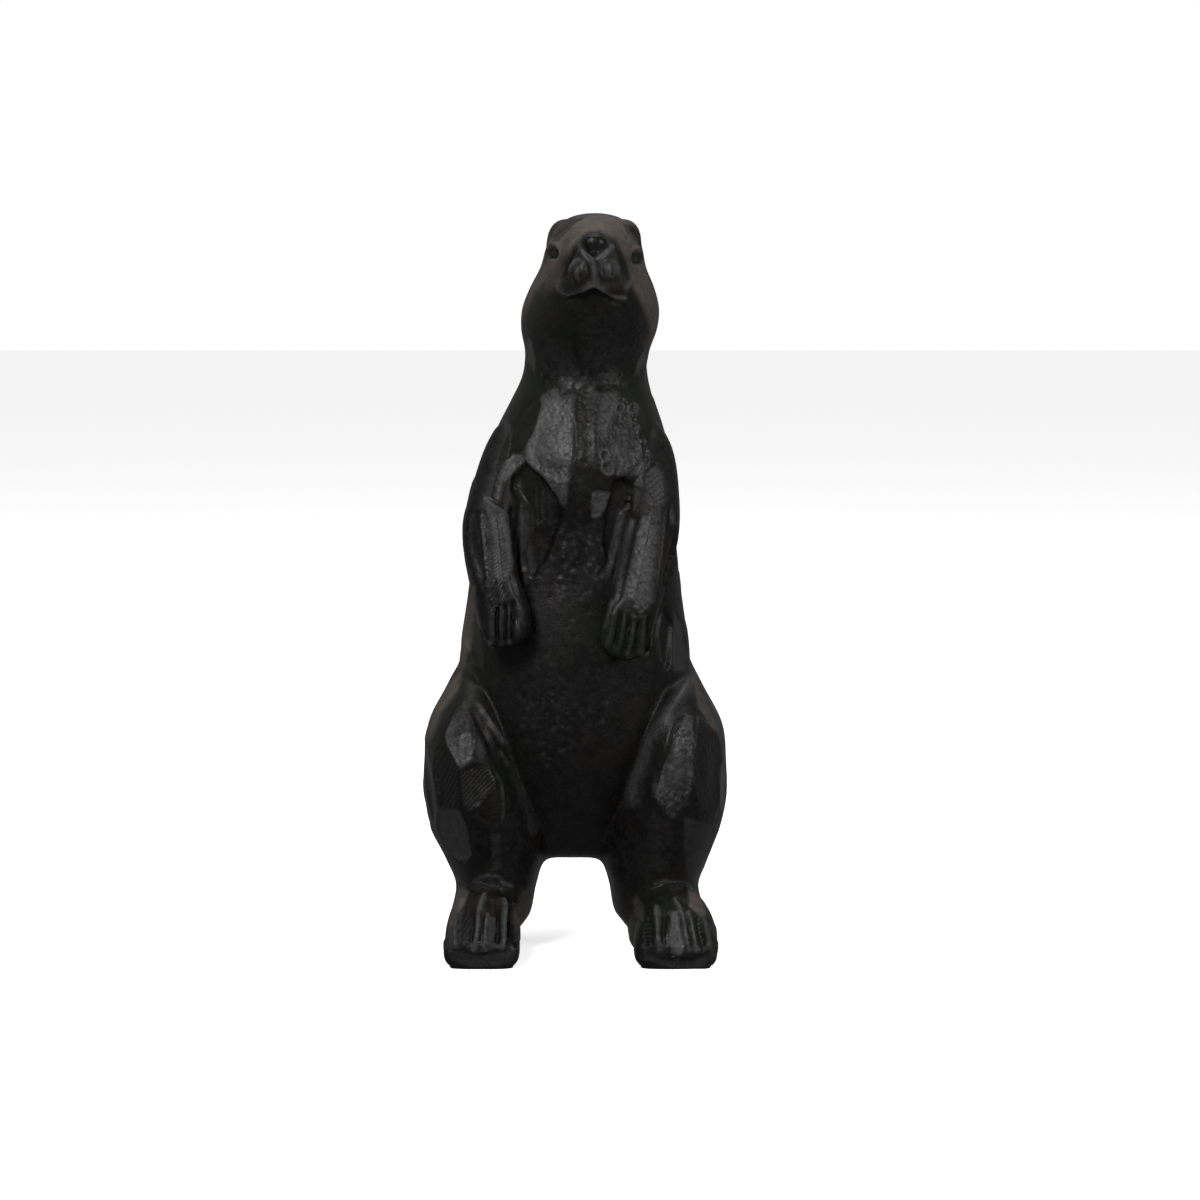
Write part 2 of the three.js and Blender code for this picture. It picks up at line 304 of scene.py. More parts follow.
def addForm(whole, stations, around=56, along=72, square=2.0, cap=0.1, upright=False):
    ball = bmesh.new()
    bmesh.ops.create_uvsphere(ball, u_segments=around, v_segments=along, radius=1)
    place = np.array([vert.co for vert in ball.verts])
    rows = np.array([list(row) + [square] * (7 - len(row)) for row in stations], float)
    turn = np.arctan2(place[:, 1], place[:, 0])
    even = np.arccos(np.clip(place[:, 2], -1, 1)) / math.pi
    share = even - 0.6 * np.sin(2 * math.pi * even) / (2 * math.pi)
    at = between(rows, share)
    ahead = between(rows, np.minimum(share + 0.01, 1)) - between(rows, np.maximum(share - 0.01, 0))
    ahead = ahead[:, :3] / np.linalg.norm(ahead[:, :3], axis=1)[:, None]
    if upright:
        ahead[:] = (0, 0, -1)
    side = np.array([1.0, 0, 0]) - ahead * ahead[:, :1]
    side /= np.linalg.norm(side, axis=1)[:, None]
    front = np.cross(ahead, side)
    end = np.minimum(1, np.minimum(share, 1 - share) / cap)
    swell = np.sqrt(np.maximum(0, 1 - (1 - end) ** 2))
    corner = 2 / np.where(np.sin(turn) > 0, at[:, 6], square)
    u = power(np.cos(turn), corner) * at[:, 3] * swell
    v = power(np.sin(turn), corner)
    v = v * np.where(v > 0, at[:, 4], at[:, 5]) * swell
    spot = at[:, :3] + side * u[:, None] + front * v[:, None]
    spot[:, 1] += block["centreLine"]
    for vert, co in zip(ball.verts, spot / 1000):
        vert.co = co
    bmesh.ops.remove_doubles(ball, verts=ball.verts, dist=1e-7)
    bmesh.ops.recalc_face_normals(ball, faces=ball.faces)
    cutAtGround(ball)
    addShape(whole, ball)


def addHaunch(whole, side, calf, ankle):
    rows = [
        (-1, 14, 108, 5, 6, 8),
        (1.2, 10, 99, 7, 17, 20),
        (3.2, 5, 89, 10.2, 29, 32),
        (4.8, 1.5, 77, 14.8, 37, 38.5),
        (4.4, -0.5, 65, 16.4, 37.5, 39.5),
        (2.6, -1, 53, 18.4, 35, 37),
        (-0.6, -1, 42, 19.4, 30.5, 32),
        (-3.2, 0, 32, calf, 27, 28),
        (-3.9, 1, 22, ankle, 25.5, 26.5),
        (-2.1, 2, 12, ankle - 0.2, 24, 26),
        (-0.4, 2, 3, 11, 22, 24),
    ]
    placed = [(side * (legs["stance"] + row[0]), *row[1:]) for row in rows]
    addForm(whole, placed, square=2.2, upright=True)


def addFoot(whole, side, turnOut, widest):
    rows = [
        (0, -0.4, 6, -4, 9, 8),
        (0.19, 0, 7, -2.4, 14, 9),
        (0.39, 0, 8, -1.4, 18, 10),
        (0.59, 0.2, 8, -0.8, 18.5, 10),
        (0.73, turnOut, 8, -0.2, 17, 10),
        (0.84, turnOut, 7, 0.2, 13, 9),
        (0.94, turnOut, 5, 0.1, 9, 6.8),
        (1, turnOut, 4, -1.2, 6, 5.4),
    ]
    placed = [
        (side * (legs["stance"] + out), legs["heelBack"] - share * legs["footLength"], z, widest + less, top, low,
         legs["instep"])
        for share, out, z, less, top, low in rows
    ]
    addForm(whole, placed, square=2.5)


def addNose(whole):
    knob = bmesh.new()
    bmesh.ops.create_uvsphere(knob, u_segments=24, v_segments=16, radius=0.001)
    bmesh.ops.scale(knob, vec=nose["size"], verts=knob.verts)
    middle = Vector(nose["centre"]) + Vector((0, block["centreLine"], 0))
    bmesh.ops.translate(knob, vec=middle / 1000, verts=knob.verts)
    addShape(whole, knob)


def makeBlock():
    whole = bmesh.new()
    trunk = [(lean(row[0]), row[1], row[0], *row[2:]) for row in bodyRows]
    addForm(whole, trunk, 96, 160, 2.15, 0.03, True)
    for side, name in ((-1, "right"), (1, "left")):
        leg = legs[name]
        addHaunch(whole, side, leg["calf"], leg["ankle"])
        addFoot(whole, side, leg["turnOut"], leg["widest"])
        addForm(whole, [(lean(row[2]) + side * row[0], *row[1:]) for row in earRows], square=2.1, cap=0.12)
    addForm(whole, rightArmRows, square=2.2, cap=0.09)
    addForm(whole, leftArmRows, square=2.2, cap=0.09)
    addForm(whole, breastRows, square=2.1, upright=True)
    addForm(whole, muzzleRows, square=2.7, cap=0.16, upright=True)
    addNose(whole)
    addForm(whole, tailRows, 40, 32, 2, 0.3)
    mesh = bpy.data.meshes.new("block")
    whole.to_mesh(mesh)
    whole.free()
    masses = bpy.data.objects.new("block", mesh)
    bpy.context.collection.objects.link(masses)
    remesh = masses.modifiers.new("one skin", "REMESH")
    remesh.mode = "VOXEL"
    remesh.voxel_size = block["skin"] / 1000 * 1
    made = bpy.data.meshes.new_from_object(masses.evaluated_get(bpy.context.evaluated_depsgraph_get()))
    bpy.data.objects.remove(masses)
    return made


mesh = makeBlock()
print("block made:", len(mesh.vertices), "points")

# the points of the block, how they look from each side, and what is painted on them
stone = {}
# painted light: the grey paint raises lit facets, ridges and edges towards grey as painted highlights, and darkens
# grooves, gaps and recesses as painted shade, besides the stone's own tone
paints = ("grey", "gloss", "dust", "pits", "marks", "markPlace")
# painted light: the dust paint lays a warm tan on top-lit surfaces and edge rims as painted warm light, and on brown
# chips as the stone's own colour
plainStone = {"grey": 0.04, "gloss": 0.35}


def readMesh():
    count = len(mesh.vertices)
    points = np.empty(count * 3)
    mesh.vertices.foreach_get("co", points)
    ends = np.empty(len(mesh.edges) * 2, np.int64)
    mesh.edges.foreach_get("vertices", ends)
    stone["points"] = points.reshape(-1, 3)
    stone["ends"] = ends.reshape(-1, 2)
    stone["degree"] = np.bincount(ends, minlength=count)
    for name in paints:
        stone[name] = np.full(count, plainStone.get(name, 0.0))


def readNormals():
    mesh.vertices.foreach_set("co", stone["points"].ravel())
    mesh.update()
    normals = np.empty(len(mesh.vertices) * 3)
    mesh.vertex_normals.foreach_get("vector", normals)
    stone["normals"] = normals.reshape(-1, 3)


def averageAround(values):
    first, second = stone["ends"].T
    count = len(stone["degree"])
    total = np.bincount(first, values[second], count) + np.bincount(second, values[first], count)
    return total / stone["degree"]


def relax(rounds):
    points = stone["points"]
    for pull in (0.5, -0.52) * rounds:
        around = np.stack([averageAround(points[:, k]) for k in range(3)], 1)
        points += pull * (around - points)


def lookFromFront():
    back, right, up = lookingFrom(0, picture["rise"])
    eye = np.array(picture["aim"]) + back * picture["away"]
    sight = stone["points"] - eye
    zoom = picture["scale"] * picture["away"] / -(sight @ back)
    half = picture["size"] / 2
    toEye = -sight / np.linalg.norm(sight, axis=1)[:, None]
    return {
        "column": half - picture["shift"][0] + zoom * (sight @ right),
        "row": half + picture["shift"][1] - zoom * (sight @ up),
        "facing": np.sum(toEye * stone["normals"], 1),
    }


def lookFrom(azimuth):  # square on, in millimetres: across and height
    back, right, up = lookingFrom(azimuth, 0)
    return {
        "column": stone["points"] @ right * 1000,
        "row": stone["points"][:, 2] * 1000,
        "facing": stone["normals"] @ back,
    }


def nearLine(line, column, row, closed=False):
    spots = np.array(list(line) + list(line[:1]) if closed else line, float)
    best = np.full(len(column), 1e9)
    along = np.zeros(len(column))
    lengths = np.hypot(*np.diff(spots, axis=0).T)
    reach = np.concatenate([[0], np.cumsum(lengths)])
    for i, (start, end) in enumerate(zip(spots[:-1], spots[1:])):
        run = end - start
        share = ((column - start[0]) * run[0] + (row - start[1]) * run[1]) / max(run @ run, 1e-9)
        share = np.clip(share, 0, 1)
        gap = np.hypot(column - start[0] - share * run[0], row - start[1] - share * run[1])
        nearer = gap < best
        best = np.where(nearer, gap, best)
        along = np.where(nearer, reach[i] + share * lengths[i], along)
    return best, along, reach[-1]


def inside(outline, column, row):
    result = np.zeros(len(column), bool)
    for (x1, y1), (x2, y2) in zip(outline, list(outline[1:]) + list(outline[:1])):
        crosses = (y1 > row) != (y2 > row)
        result ^= crosses & (column < (x2 - x1) * (row - y1) / ((y2 - y1) or 1e-9) + x1)
    return result


def pickNear(line, margin, side):
    seen = stone[side]
    low, high = np.min(line, 0) - margin, np.max(line, 0) + margin
    pick = (seen["column"] > low[0]) & (seen["column"] < high[0]) & (seen["row"] > low[1])
    pick = np.flatnonzero(pick & (seen["row"] < high[1]) & (seen["facing"] > 0.06))
    return pick, seen["column"][pick], seen["row"][pick]


def region(outline, soft, side):
    pick, column, row = pickNear(outline, soft, side)
    gap = nearLine(outline, column, row, closed=True)[0]
    gap = np.where(inside(outline, column, row), gap, -gap)
    mask = smoothStep(gap, -soft / 2, soft / 2)
    keep = mask > 0.001
    return pick[keep], mask[keep]


def paint(pick, mask, shades):
    for name, value in shades.items():
        stone[name][pick] += mask * (value - stone[name][pick])


def hatch(pick, mask, angle, pitch, amount, side):
    turn = math.radians(angle)
    seen = stone[side]
    across = seen["column"][pick] * math.sin(turn) + seen["row"][pick] * math.cos(turn)
    stone["markPlace"][pick] = across * 1000 / picture["scale"] / pitch
    stone["marks"][pick] = np.maximum(stone["marks"][pick] * (1 - mask), mask * amount)


# the carver's tools: outlines and lines are as seen from a side, depths and heights in millimetres
def tint(outline, soft=4, side="front", **shades):
    pick, mask = region(outline, soft, side)
    paint(pick, mask, shades)


def flatten(pick, mask, depth, fill, most):
    spots = stone["points"][pick]
    centre = np.average(spots, 0, mask)
    spread = (spots - centre) * np.sqrt(mask)[:, None]
    facing = np.linalg.svd(spread, full_matrices=False)[2][2]
    facing *= np.sign(facing @ stone["normals"][pick].mean(0))
    above = (spots - centre) @ facing + depth / 1000
    cut = np.clip(np.where(above > 0, above, above * fill), -most / 1000, most / 1000)
    stone["points"][pick] -= (cut * mask)[:, None] * facing


def plane(outline, depth=0.5, soft=2.4, fill=0.35, most=1.6, side="front", marks=None, **shades):
    pick, mask = region(outline, soft, side)
    flatten(pick, mask, depth, fill, most)
    paint(pick, mask, shades)
    if marks:
        hatch(pick, mask, *marks, side)


def sink(outline, depth, soft=6, side="front", **shades):
    pick, mask = region(outline, soft, side)
    stone["points"][pick] -= stone["normals"][pick] * mask[:, None] * depth / 1000
    paint(pick, mask, shades)


def stroke(line, width, height, side="front", fade=0.2, **shades):
    pick, column, row = pickNear(line, width * 2.5, side)
    gap, along, whole = nearLine(line, column, row)
    mask = np.exp(-((gap / width) ** 2))
    if fade:
        mask *= smoothStep(along, -0.01, fade * whole) * smoothStep(whole - along, -0.01, fade * whole)
    stone["points"][pick] += stone["normals"][pick] * mask[:, None] * height / 1000
    paint(pick, mask ** 0.7, shades)


def boss(centre, radii, height, side="front", tilt=0, **shades):
    pick, column, row = pickNear([centre], max(radii), side)
    turn = math.radians(tilt)
    x, y = column - centre[0], row - centre[1]
    across = (x * math.cos(turn) + y * math.sin(turn)) / radii[0]
    down = (y * math.cos(turn) - x * math.sin(turn)) / radii[1]
    mask = np.clip(1 - across ** 2 - down ** 2, 0, 1) ** 1.5
    stone["points"][pick] += stone["normals"][pick] * mask[:, None] * height / 1000
    paint(pick, np.clip(mask * 1.6, 0, 1), shades)


def chipRing(centre, radii, **shades):
    turns = np.linspace(0, 2 * math.pi, 13)
    loop = [(centre[0] + radii[0] * math.cos(t), centre[1] + radii[1] * math.sin(t)) for t in turns]
    # the raised ring is painted lighter as a rim highlight
    stroke(loop, 1.3, 0.35, fade=0, **shades)
    boss(centre, radii, -0.5, grey=0.3)


def pitting(outline, count, size, depth, seed, side="front", **shades):
    dice = np.random.default_rng(seed)
    places = dice.uniform(np.min(outline, 0), np.max(outline, 0), (count * 3, 2))
    places = places[inside(outline, places[:, 0], places[:, 1])][:count]
    for place in places:
        radius, pit = size * dice.uniform(0.5, 1.4), depth * dice.uniform(0.4, 1.4)
        turn, narrow = dice.uniform(0, math.pi), dice.uniform(1, 2.2)
        lit, bright = dice.uniform(-1, 1, 2) * radius, dice.uniform(0.1, 0.9)
        pick, column, row = pickNear([place], radius * 2.4, side)
        x, y = column - place[0], row - place[1]
        long = x * math.cos(turn) + y * math.sin(turn)
        gap = np.hypot(long, narrow * (y * math.cos(turn) - x * math.sin(turn))) / radius
        shape = -np.exp(-((gap * 1.2) ** 2))
        stone["points"][pick] += stone["normals"][pick] * shape[:, None] * pit / 1000
        # each pit also gets a painted glint, a lighter spot off to one side of it
        paint(pick, bright * np.exp(-(((x - lit[0]) ** 2 + (y - lit[1]) ** 2) / radius ** 2 * 2.5)), shades)


def carve(marks):
    for tool, shape, how in marks.values():
        tool(shape, **how)
    readNormals()


readMesh()
readNormals()
relax(block["roundings"])
readNormals()
stone["front"] = lookFromFront()
stone["back"] = lookFrom(180)
stone["left"] = lookFrom(90)
stone["right"] = lookFrom(270)
print("block ready to carve")

# the front's marks, in pixels of the picture: column, row
# painted light: the grey values paint highlights on the nose wings, philtrum, lips, lids, pads and neck rims, and shade
# in the grooves, the eye sockets and under the nose and lips
headMarks = {
    # painted warm light: the tan on the crown stands in for warm light falling on the top of the head
    "crownDust": (tint, [(549, 241), (561, 228), (578, 216), (600, 211), (620, 214), (640, 232), (643, 246), (628, 262),
                         (617, 240), (600, 230), (584, 234), (575, 246), (566, 262), (556, 262), (549, 256)],
                  dict(soft=8, dust=0.85, grey=0.4, gloss=0.05)),
    # painted warm light: the tan along both cheeks stands in for warm reflection at the head's edges
    "leftCheekDust": (tint, [(549, 256), (566, 262), (559, 282), (546, 288), (534, 291), (524, 316), (519, 320),
                             (522, 300), (536, 276)], dict(soft=9, dust=0.62, grey=0.3, gloss=0.05)),
    "rightCheekDust": (tint, [(628, 262), (643, 258), (646, 272), (656, 295), (661, 315), (656, 338), (648, 350),
                              (650, 325), (640, 300), (632, 286)], dict(soft=7, dust=0.75, grey=0.4, gloss=0.05)),
    "leftCheekShade": (stroke, [(568, 250), (558, 270), (548, 286), (536, 294)],
                       dict(width=5, height=-0.1, dust=0.3, grey=0.1)),
    # painted warm light: the tan on the ear roots stands in for warm light from above
    "leftEarDust": (tint, [(547, 226), (562, 216), (566, 226), (556, 242), (546, 244)],
                    dict(soft=5, dust=0.5, grey=0.2)),
    "rightEarDust": (tint, [(626, 217), (640, 226), (644, 244), (636, 240), (626, 228)],
                     dict(soft=5, dust=0.5, grey=0.2)),
    "leftBrowPlane": (plane, [(552, 243), (551, 236), (561, 227), (575, 218), (579, 221), (568, 231), (560, 240)],
                      dict(dust=0.25, grey=0.12)),
    "rightBrowPlane": (plane, [(622, 222), (634, 228), (641, 238), (643, 249), (634, 242), (626, 232)],
                       dict(dust=0.3, grey=0.1)),
    "crownNotch": (stroke, [(574, 221.5), (578, 219.5), (583, 217)], dict(width=1.3, height=-0.5, dust=0, grey=0)),
    "muzzleShade": (tint, [(580, 240), (570, 254), (563, 268), (559, 284), (566, 292), (580, 288), (595, 284),
                           (612, 294), (628, 292), (626, 272), (620, 254), (611, 240), (600, 231), (588, 232)],
                    dict(soft=3, dust=0.05, grey=0.1, gloss=0.5)),
    "leftPadGroove": (stroke, [(577.5, 244), (570, 255), (565, 266), (563, 277), (566, 286), (571, 290)],
                      dict(width=2.8, height=-1.5, grey=-0.1, dust=0)),
    "rightPadGroove": (stroke, [(613.5, 245), (620, 256), (623, 267), (624, 279), (621, 288)],
                       dict(width=2.2, height=-0.7, grey=0.02, dust=0.05)),
    "leftPadShade": (tint, [(577, 246), (566, 262), (562, 280), (570, 290), (572, 268)],
                     dict(soft=3, grey=-0.2, dust=0, gloss=0)),
    "leftPad": (boss, (578.5, 273), dict(radii=(10.5, 14.5), height=1.3, tilt=8, grey=0.1)),
    "leftPadRim": (stroke, [(569.5, 274), (571, 266), (576, 261), (581, 258)], dict(width=1.8, height=0.5, grey=1)),
    "leftPadLineA": (stroke, [(574, 268), (575, 277), (578, 285)], dict(width=1.2, height=-0.35, grey=0)),
    "leftPadLineB": (stroke, [(580, 266), (581, 276), (583, 284)], dict(width=1.2, height=-0.35, grey=0)),
    "leftPadLight": (stroke, [(577, 266), (578, 276), (580, 283)], dict(width=1.3, height=0.2, grey=0.5)),
    "rightPad": (boss, (609, 269), dict(radii=(12.5, 12), height=1.3, grey=0.62, gloss=0.6)),
    "rightPadLineA": (stroke, [(604, 262), (603, 270), (605, 277)], dict(width=1.3, height=-0.4, grey=0.1)),
    "rightPadLineB": (stroke, [(611, 262), (611, 270), (612, 277)], dict(width=1.3, height=-0.4, grey=0.15)),
    "rightPadSpot": (boss, (600, 272), dict(radii=(2.6, 3.6), height=0.2, grey=1)),
    "underNose": (stroke, [(580.5, 246), (584, 252), (591, 257), (597, 257.5), (604, 253.5), (608.5, 247.5)],
                  dict(width=1.8, height=-0.9, grey=0)),
    "noseTip": (tint, [(581, 236), (590, 231.5), (601, 232.5), (608, 240), (606, 248), (596, 255.5), (585, 249.5)],
                dict(soft=2.5, dust=0, grey=0.04, gloss=1)),
    "aboveNose": (stroke, [(582, 238), (589, 232.5), (600, 232), (608, 239)],
                  dict(width=1.8, height=-0.6, grey=0.03, dust=0)),
    "leftWing": (stroke, [(578.5, 243), (582.5, 252), (587, 258), (591, 263)],
                 dict(width=2.0, height=0.7, grey=0.8, gloss=0.5)),
    "rightWing": (stroke, [(611.5, 243), (611, 248), (604.5, 254.5), (596, 261)],
                  dict(width=3.0, height=0.8, grey=0.85, gloss=0.5)),
    "philtrum": (stroke, [(591.5, 260), (593.5, 272), (594.5, 285)],
                 dict(width=2.6, height=0.55, fade=0.1, grey=0.7, gloss=0.5)),
    "leftOfPhiltrum": (stroke, [(588, 264), (589.5, 275), (587, 284)], dict(width=1.4, height=-0.6, grey=0.02)),
    "rightOfPhiltrum": (stroke, [(598, 263), (599.5, 276), (602, 284)], dict(width=1.4, height=-0.6, grey=0.05)),
    "rightLipHollow": (stroke, [(600, 283), (612, 286), (622, 283)],
                       dict(width=4.0, height=-0.6, grey=0.06, dust=0.2)),
    "underLips": (stroke, [(559, 295), (567.5, 300), (580, 296.5), (589, 292), (595, 290.5), (602, 295), (612, 301.5),
                           (628, 303)], dict(width=2.4, height=-0.8, grey=0.03, dust=0)),
    "lips": (stroke, [(557, 283), (559.5, 290), (567.5, 295), (580, 291.5), (589, 287), (595, 285.5), (602, 290),
                      (612, 296.5), (621, 298), (628, 298)],
             dict(width=2.3, height=0.9, fade=0.05, grey=0.65, gloss=0.5, dust=0.1)),
    "lipCorner": (stroke, [(622, 291), (627, 287.5), (632.5, 281)], dict(width=2.0, height=0.6, grey=0.4, dust=0.5)),
    # a pale warm streak along the lower lip's edge
    "lipWear": (stroke, [(612, 296.5), (618, 298), (625, 298)], dict(width=1.6, height=0.1, grey=0.9, dust=0.9)),
    "leftSocket": (boss, (552.5, 253), dict(radii=(6.5, 8), height=-2.2, dust=0.3, grey=0.05, gloss=-1)),
    "rightSocket": (boss, (637.5, 258), dict(radii=(6.5, 9), height=-2.2, dust=0.3, grey=0.05, gloss=-1)),
    "leftEyeShade": (tint, [(546, 251), (551, 247), (556, 248.5), (555, 256), (549, 259)],
                     dict(soft=2.5, dust=0, grey=-0.2, gloss=-1.5)),
    "rightEyeShade": (tint, [(632, 254), (637, 251.5), (643, 256), (642, 264), (636, 263)],
                      dict(soft=2.5, dust=0, grey=-0.2, gloss=-1.5)),
    "leftEye": (boss, (551.5, 252.5), dict(radii=(3.6, 4.2), height=1.1, grey=-0.2, dust=0, gloss=0)),
    "rightEye": (boss, (638, 258), dict(radii=(3.8, 5), height=1.1, grey=-0.2, dust=0, gloss=0)),
    "leftLid": (stroke, [(547.5, 247), (551, 243.5), (556, 244.5), (558.5, 249)],
                dict(width=1.5, height=0.6, grey=0.6, dust=0.8)),
    "rightLid": (stroke, [(630, 253), (634, 249), (641.5, 248.5)], dict(width=1.5, height=0.6, grey=0.6, dust=0.8)),
    "leftJowl": (tint, [(530, 316), (546, 300), (556, 300), (558, 330), (540, 345), (528, 332)],
                 dict(soft=12, grey=0.09, pits=0.4)),
    "leftThroat": (tint, [(546, 338), (571, 340), (573, 376), (548, 378), (541, 360)], dict(soft=5, grey=0.13)),
    "throatMiddle": (tint, [(578, 302), (622, 304), (628, 350), (610, 366), (580, 362)],
                     dict(soft=16, grey=0.12, pits=0.5)),
    "rightJowl": (tint, [(628, 316), (645, 306), (652, 330), (644, 350), (630, 345)],
                  dict(soft=10, grey=0.02, pits=0.7)),
    "rightJowlPits": (pitting, [(612, 305), (650, 312), (650, 346), (620, 352)],
                      dict(count=16, size=2.2, depth=0.3, seed=12, grey=0.3)),
    "throatLine": (stroke, [(574.5, 330), (575, 345), (576.5, 360), (579, 374)],
                   dict(width=2.4, height=-0.5, grey=0.02)),
    "leftNeckRim": (plane, [(524, 336), (531, 342), (536, 360), (534, 374), (526, 362)],
                    dict(depth=0.3, grey=0.4, gloss=0.6)),
    "rightNeckRim": (plane, [(647, 350), (638, 361), (634, 375), (641, 375), (647, 362)],
                     dict(depth=0.3, grey=0.35, gloss=0.6)),
    "throatPits": (pitting, [(543, 372), (626, 366), (641, 384), (600, 396), (560, 398), (540, 392)],
                   dict(count=48, size=2.2, depth=0.32, seed=11, grey=0.42)),
}
# painted light: the grey values paint highlights on the lit chest facets, their edges and chips, and shade in the
# breastbone groove, the pockets and the right crease
chestMarks = {
    "breastbone": (sink, [(573.6, 388), (591, 388), (591.5, 470), (594, 500), (586, 514), (576, 514), (573, 490),
                          (574, 455)], dict(depth=0.7, soft=8, grey=0, dust=0.04, gloss=0.3, pits=0.6)),
    "breastbonePits": (pitting, [(575, 390), (591, 390), (592, 500), (575, 500)],
                       dict(count=34, size=2.3, depth=0.3, seed=13, grey=0.25)),
    "leftFacet": (plane, [(546, 393), (555, 388), (562, 398), (576, 392), (573.5, 404), (573.5, 455), (571, 462),
                          (566, 509), (559, 504), (557, 497), (543, 478), (531.5, 468.5), (523, 460.5), (524, 449),
                          (534, 431), (541.5, 404)], dict(depth=0.9, soft=5, grey=0.62, gloss=0.5, pits=0.7)),
    "leftFacetLight": (tint, [(543, 396), (562, 400), (571, 420), (564, 450), (545, 462), (526, 458), (535, 434)],
                       dict(soft=10, grey=1.05)),
    "leftFacetPits": (pitting, [(543, 388), (573, 392), (573, 455), (565, 505), (545, 478), (528, 462), (536, 430)],
                      dict(count=110, size=2.2, depth=0.26, seed=14, grey=0.45)),
    "leftShoulderFacet": (plane, [(524, 449), (524, 461), (511, 476.5), (503, 482), (498, 501), (494, 496),
                                  (498, 478), (504, 461)], dict(grey=0.8, gloss=0.55)),
    "leftShoulderShade": (plane, [(535, 396), (541, 404), (533, 431), (521, 449), (503, 460), (497, 470), (507, 440),
                                  (522, 412)], dict(depth=0.6, soft=3, grey=0.07)),
    # painted highlights: two bright streaks across the left chest facet
    "scratchA": (stroke, [(536, 431), (545, 428), (556, 425)], dict(width=1.2, height=0.15, grey=1)),
    "scratchB": (stroke, [(536, 437), (545, 434), (556, 431)], dict(width=1.2, height=0.15, grey=1)),
    "leftPocket": (sink, [(524, 463), (514, 476), (513, 488), (518, 496), (523, 506), (526, 540), (532, 575),
                          (545, 560), (560, 520), (558, 500), (543, 479)],
                   dict(depth=2.2, soft=7, grey=0.03, gloss=0.4)),
    "leftPocketEdge": (stroke, [(522, 461.5), (531, 468.5), (543, 478.5), (551, 488), (558, 499), (562, 509)],
                       dict(width=1.8, height=0.5, grey=0.8)),
    "pocketRidgeA": (stroke, [(533, 486), (534, 510), (535, 530)], dict(width=1.6, height=0.25, grey=0.2)),
    "pocketRidgeB": (stroke, [(540, 486), (541, 510), (542, 530)], dict(width=1.6, height=0.25, grey=0.25)),
    "pocketRidgeC": (stroke, [(547, 490), (548, 510), (549, 530)], dict(width=1.6, height=0.25, grey=0.2)),
    "rightFacet": (plane, [(597, 391), (612, 386), (630, 396), (640, 415), (644, 440), (646, 477), (636, 479),
                           (620, 480), (604, 478), (597, 470), (596, 440)],
                   dict(depth=0.4, soft=9, grey=0.14, gloss=0.45, pits=0.8)),
    "rightFacetLight": (tint, [(599, 396), (616, 392), (618, 404), (613, 424), (607, 440), (598, 436)],
                        dict(soft=7, grey=0.5)),
    "rightFacetMid": (tint, [(612, 430), (634, 420), (642, 446), (640, 474), (616, 474)], dict(soft=9, grey=0.34)),
    "rightFacetPits": (pitting, [(594, 394), (634, 398), (644, 470), (598, 474)],
                       dict(count=100, size=2.2, depth=0.32, seed=15, grey=0.6)),
    "rightCrack": (stroke, [(614, 405), (612, 416), (606, 430), (611, 438)], dict(width=1.8, height=0.5, grey=0.9)),
    "chipA": (chipRing, (606, 455), dict(radii=(5.5, 6.5), grey=0.8)),
    "chipB": (chipRing, (608, 467), dict(radii=(6.5, 8), grey=0.9)),
    "chipC": (chipRing, (633.5, 408.5), dict(radii=(4, 4.5), grey=0.7)),
    "chipD": (chipRing, (621, 408), dict(radii=(4, 4.5), grey=0.7)),
    "rightCrease": (stroke, [(641, 428), (645, 444), (646, 466), (646.5, 482)],
                    dict(width=1.6, height=-0.9, grey=0)),
    "creaseSpot": (boss, (643, 441), dict(radii=(2.6, 2.6), height=0.4, grey=1)),
    "rightLowerPatch": (tint, [(612, 448), (644, 446), (645, 474), (622, 478), (612, 470)],
                        dict(soft=6, grey=0.5, pits=0.6)),
    "rightPocket": (sink, [(615, 482), (624, 478), (632, 486), (631, 508), (623, 514), (618, 540), (611, 565),
                           (604, 548), (606, 515), (611, 497)], dict(depth=1.7, soft=5, grey=0.03)),
    # painted highlight: the bright plane below the breastbone
    "pocketPatch": (plane, [(593, 492), (600, 490), (613, 492), (608, 503), (600, 516), (592, 518), (591, 505)],
                    dict(depth=0.4, grey=0.9, pits=1)),
    "leafA": (tint, [(631, 490), (636, 487.5), (640.5, 492), (640, 500), (634, 513), (631, 503)],
              dict(soft=2, grey=0.45)),
    "leafB": (tint, [(635.5, 478.5), (642, 480), (642.5, 487.5), (636, 486)], dict(soft=2, grey=0.4)),
    "leafC": (tint, [(645.5, 492), (650, 493.5), (657.5, 504), (656, 507.5), (648, 503)],
              dict(soft=2, grey=0.45)),
    "rightHatched": (plane, [(652, 463), (657, 465), (664, 475), (664.5, 504), (656, 503), (645.5, 487), (646, 473)],
                     dict(depth=0.7, soft=2, grey=0.36, marks=(38, 1.7, 0.9))),
    "rightBand": (tint, [(653, 504), (664.5, 504), (664, 527), (656, 527)], dict(grey=0.32)),
    "rightShoulderShade": (tint, [(648, 410), (672, 440), (676, 500), (665, 502), (664, 474), (655, 463), (648, 470),
                                  (645, 440)], dict(soft=5, grey=0.05)),
}
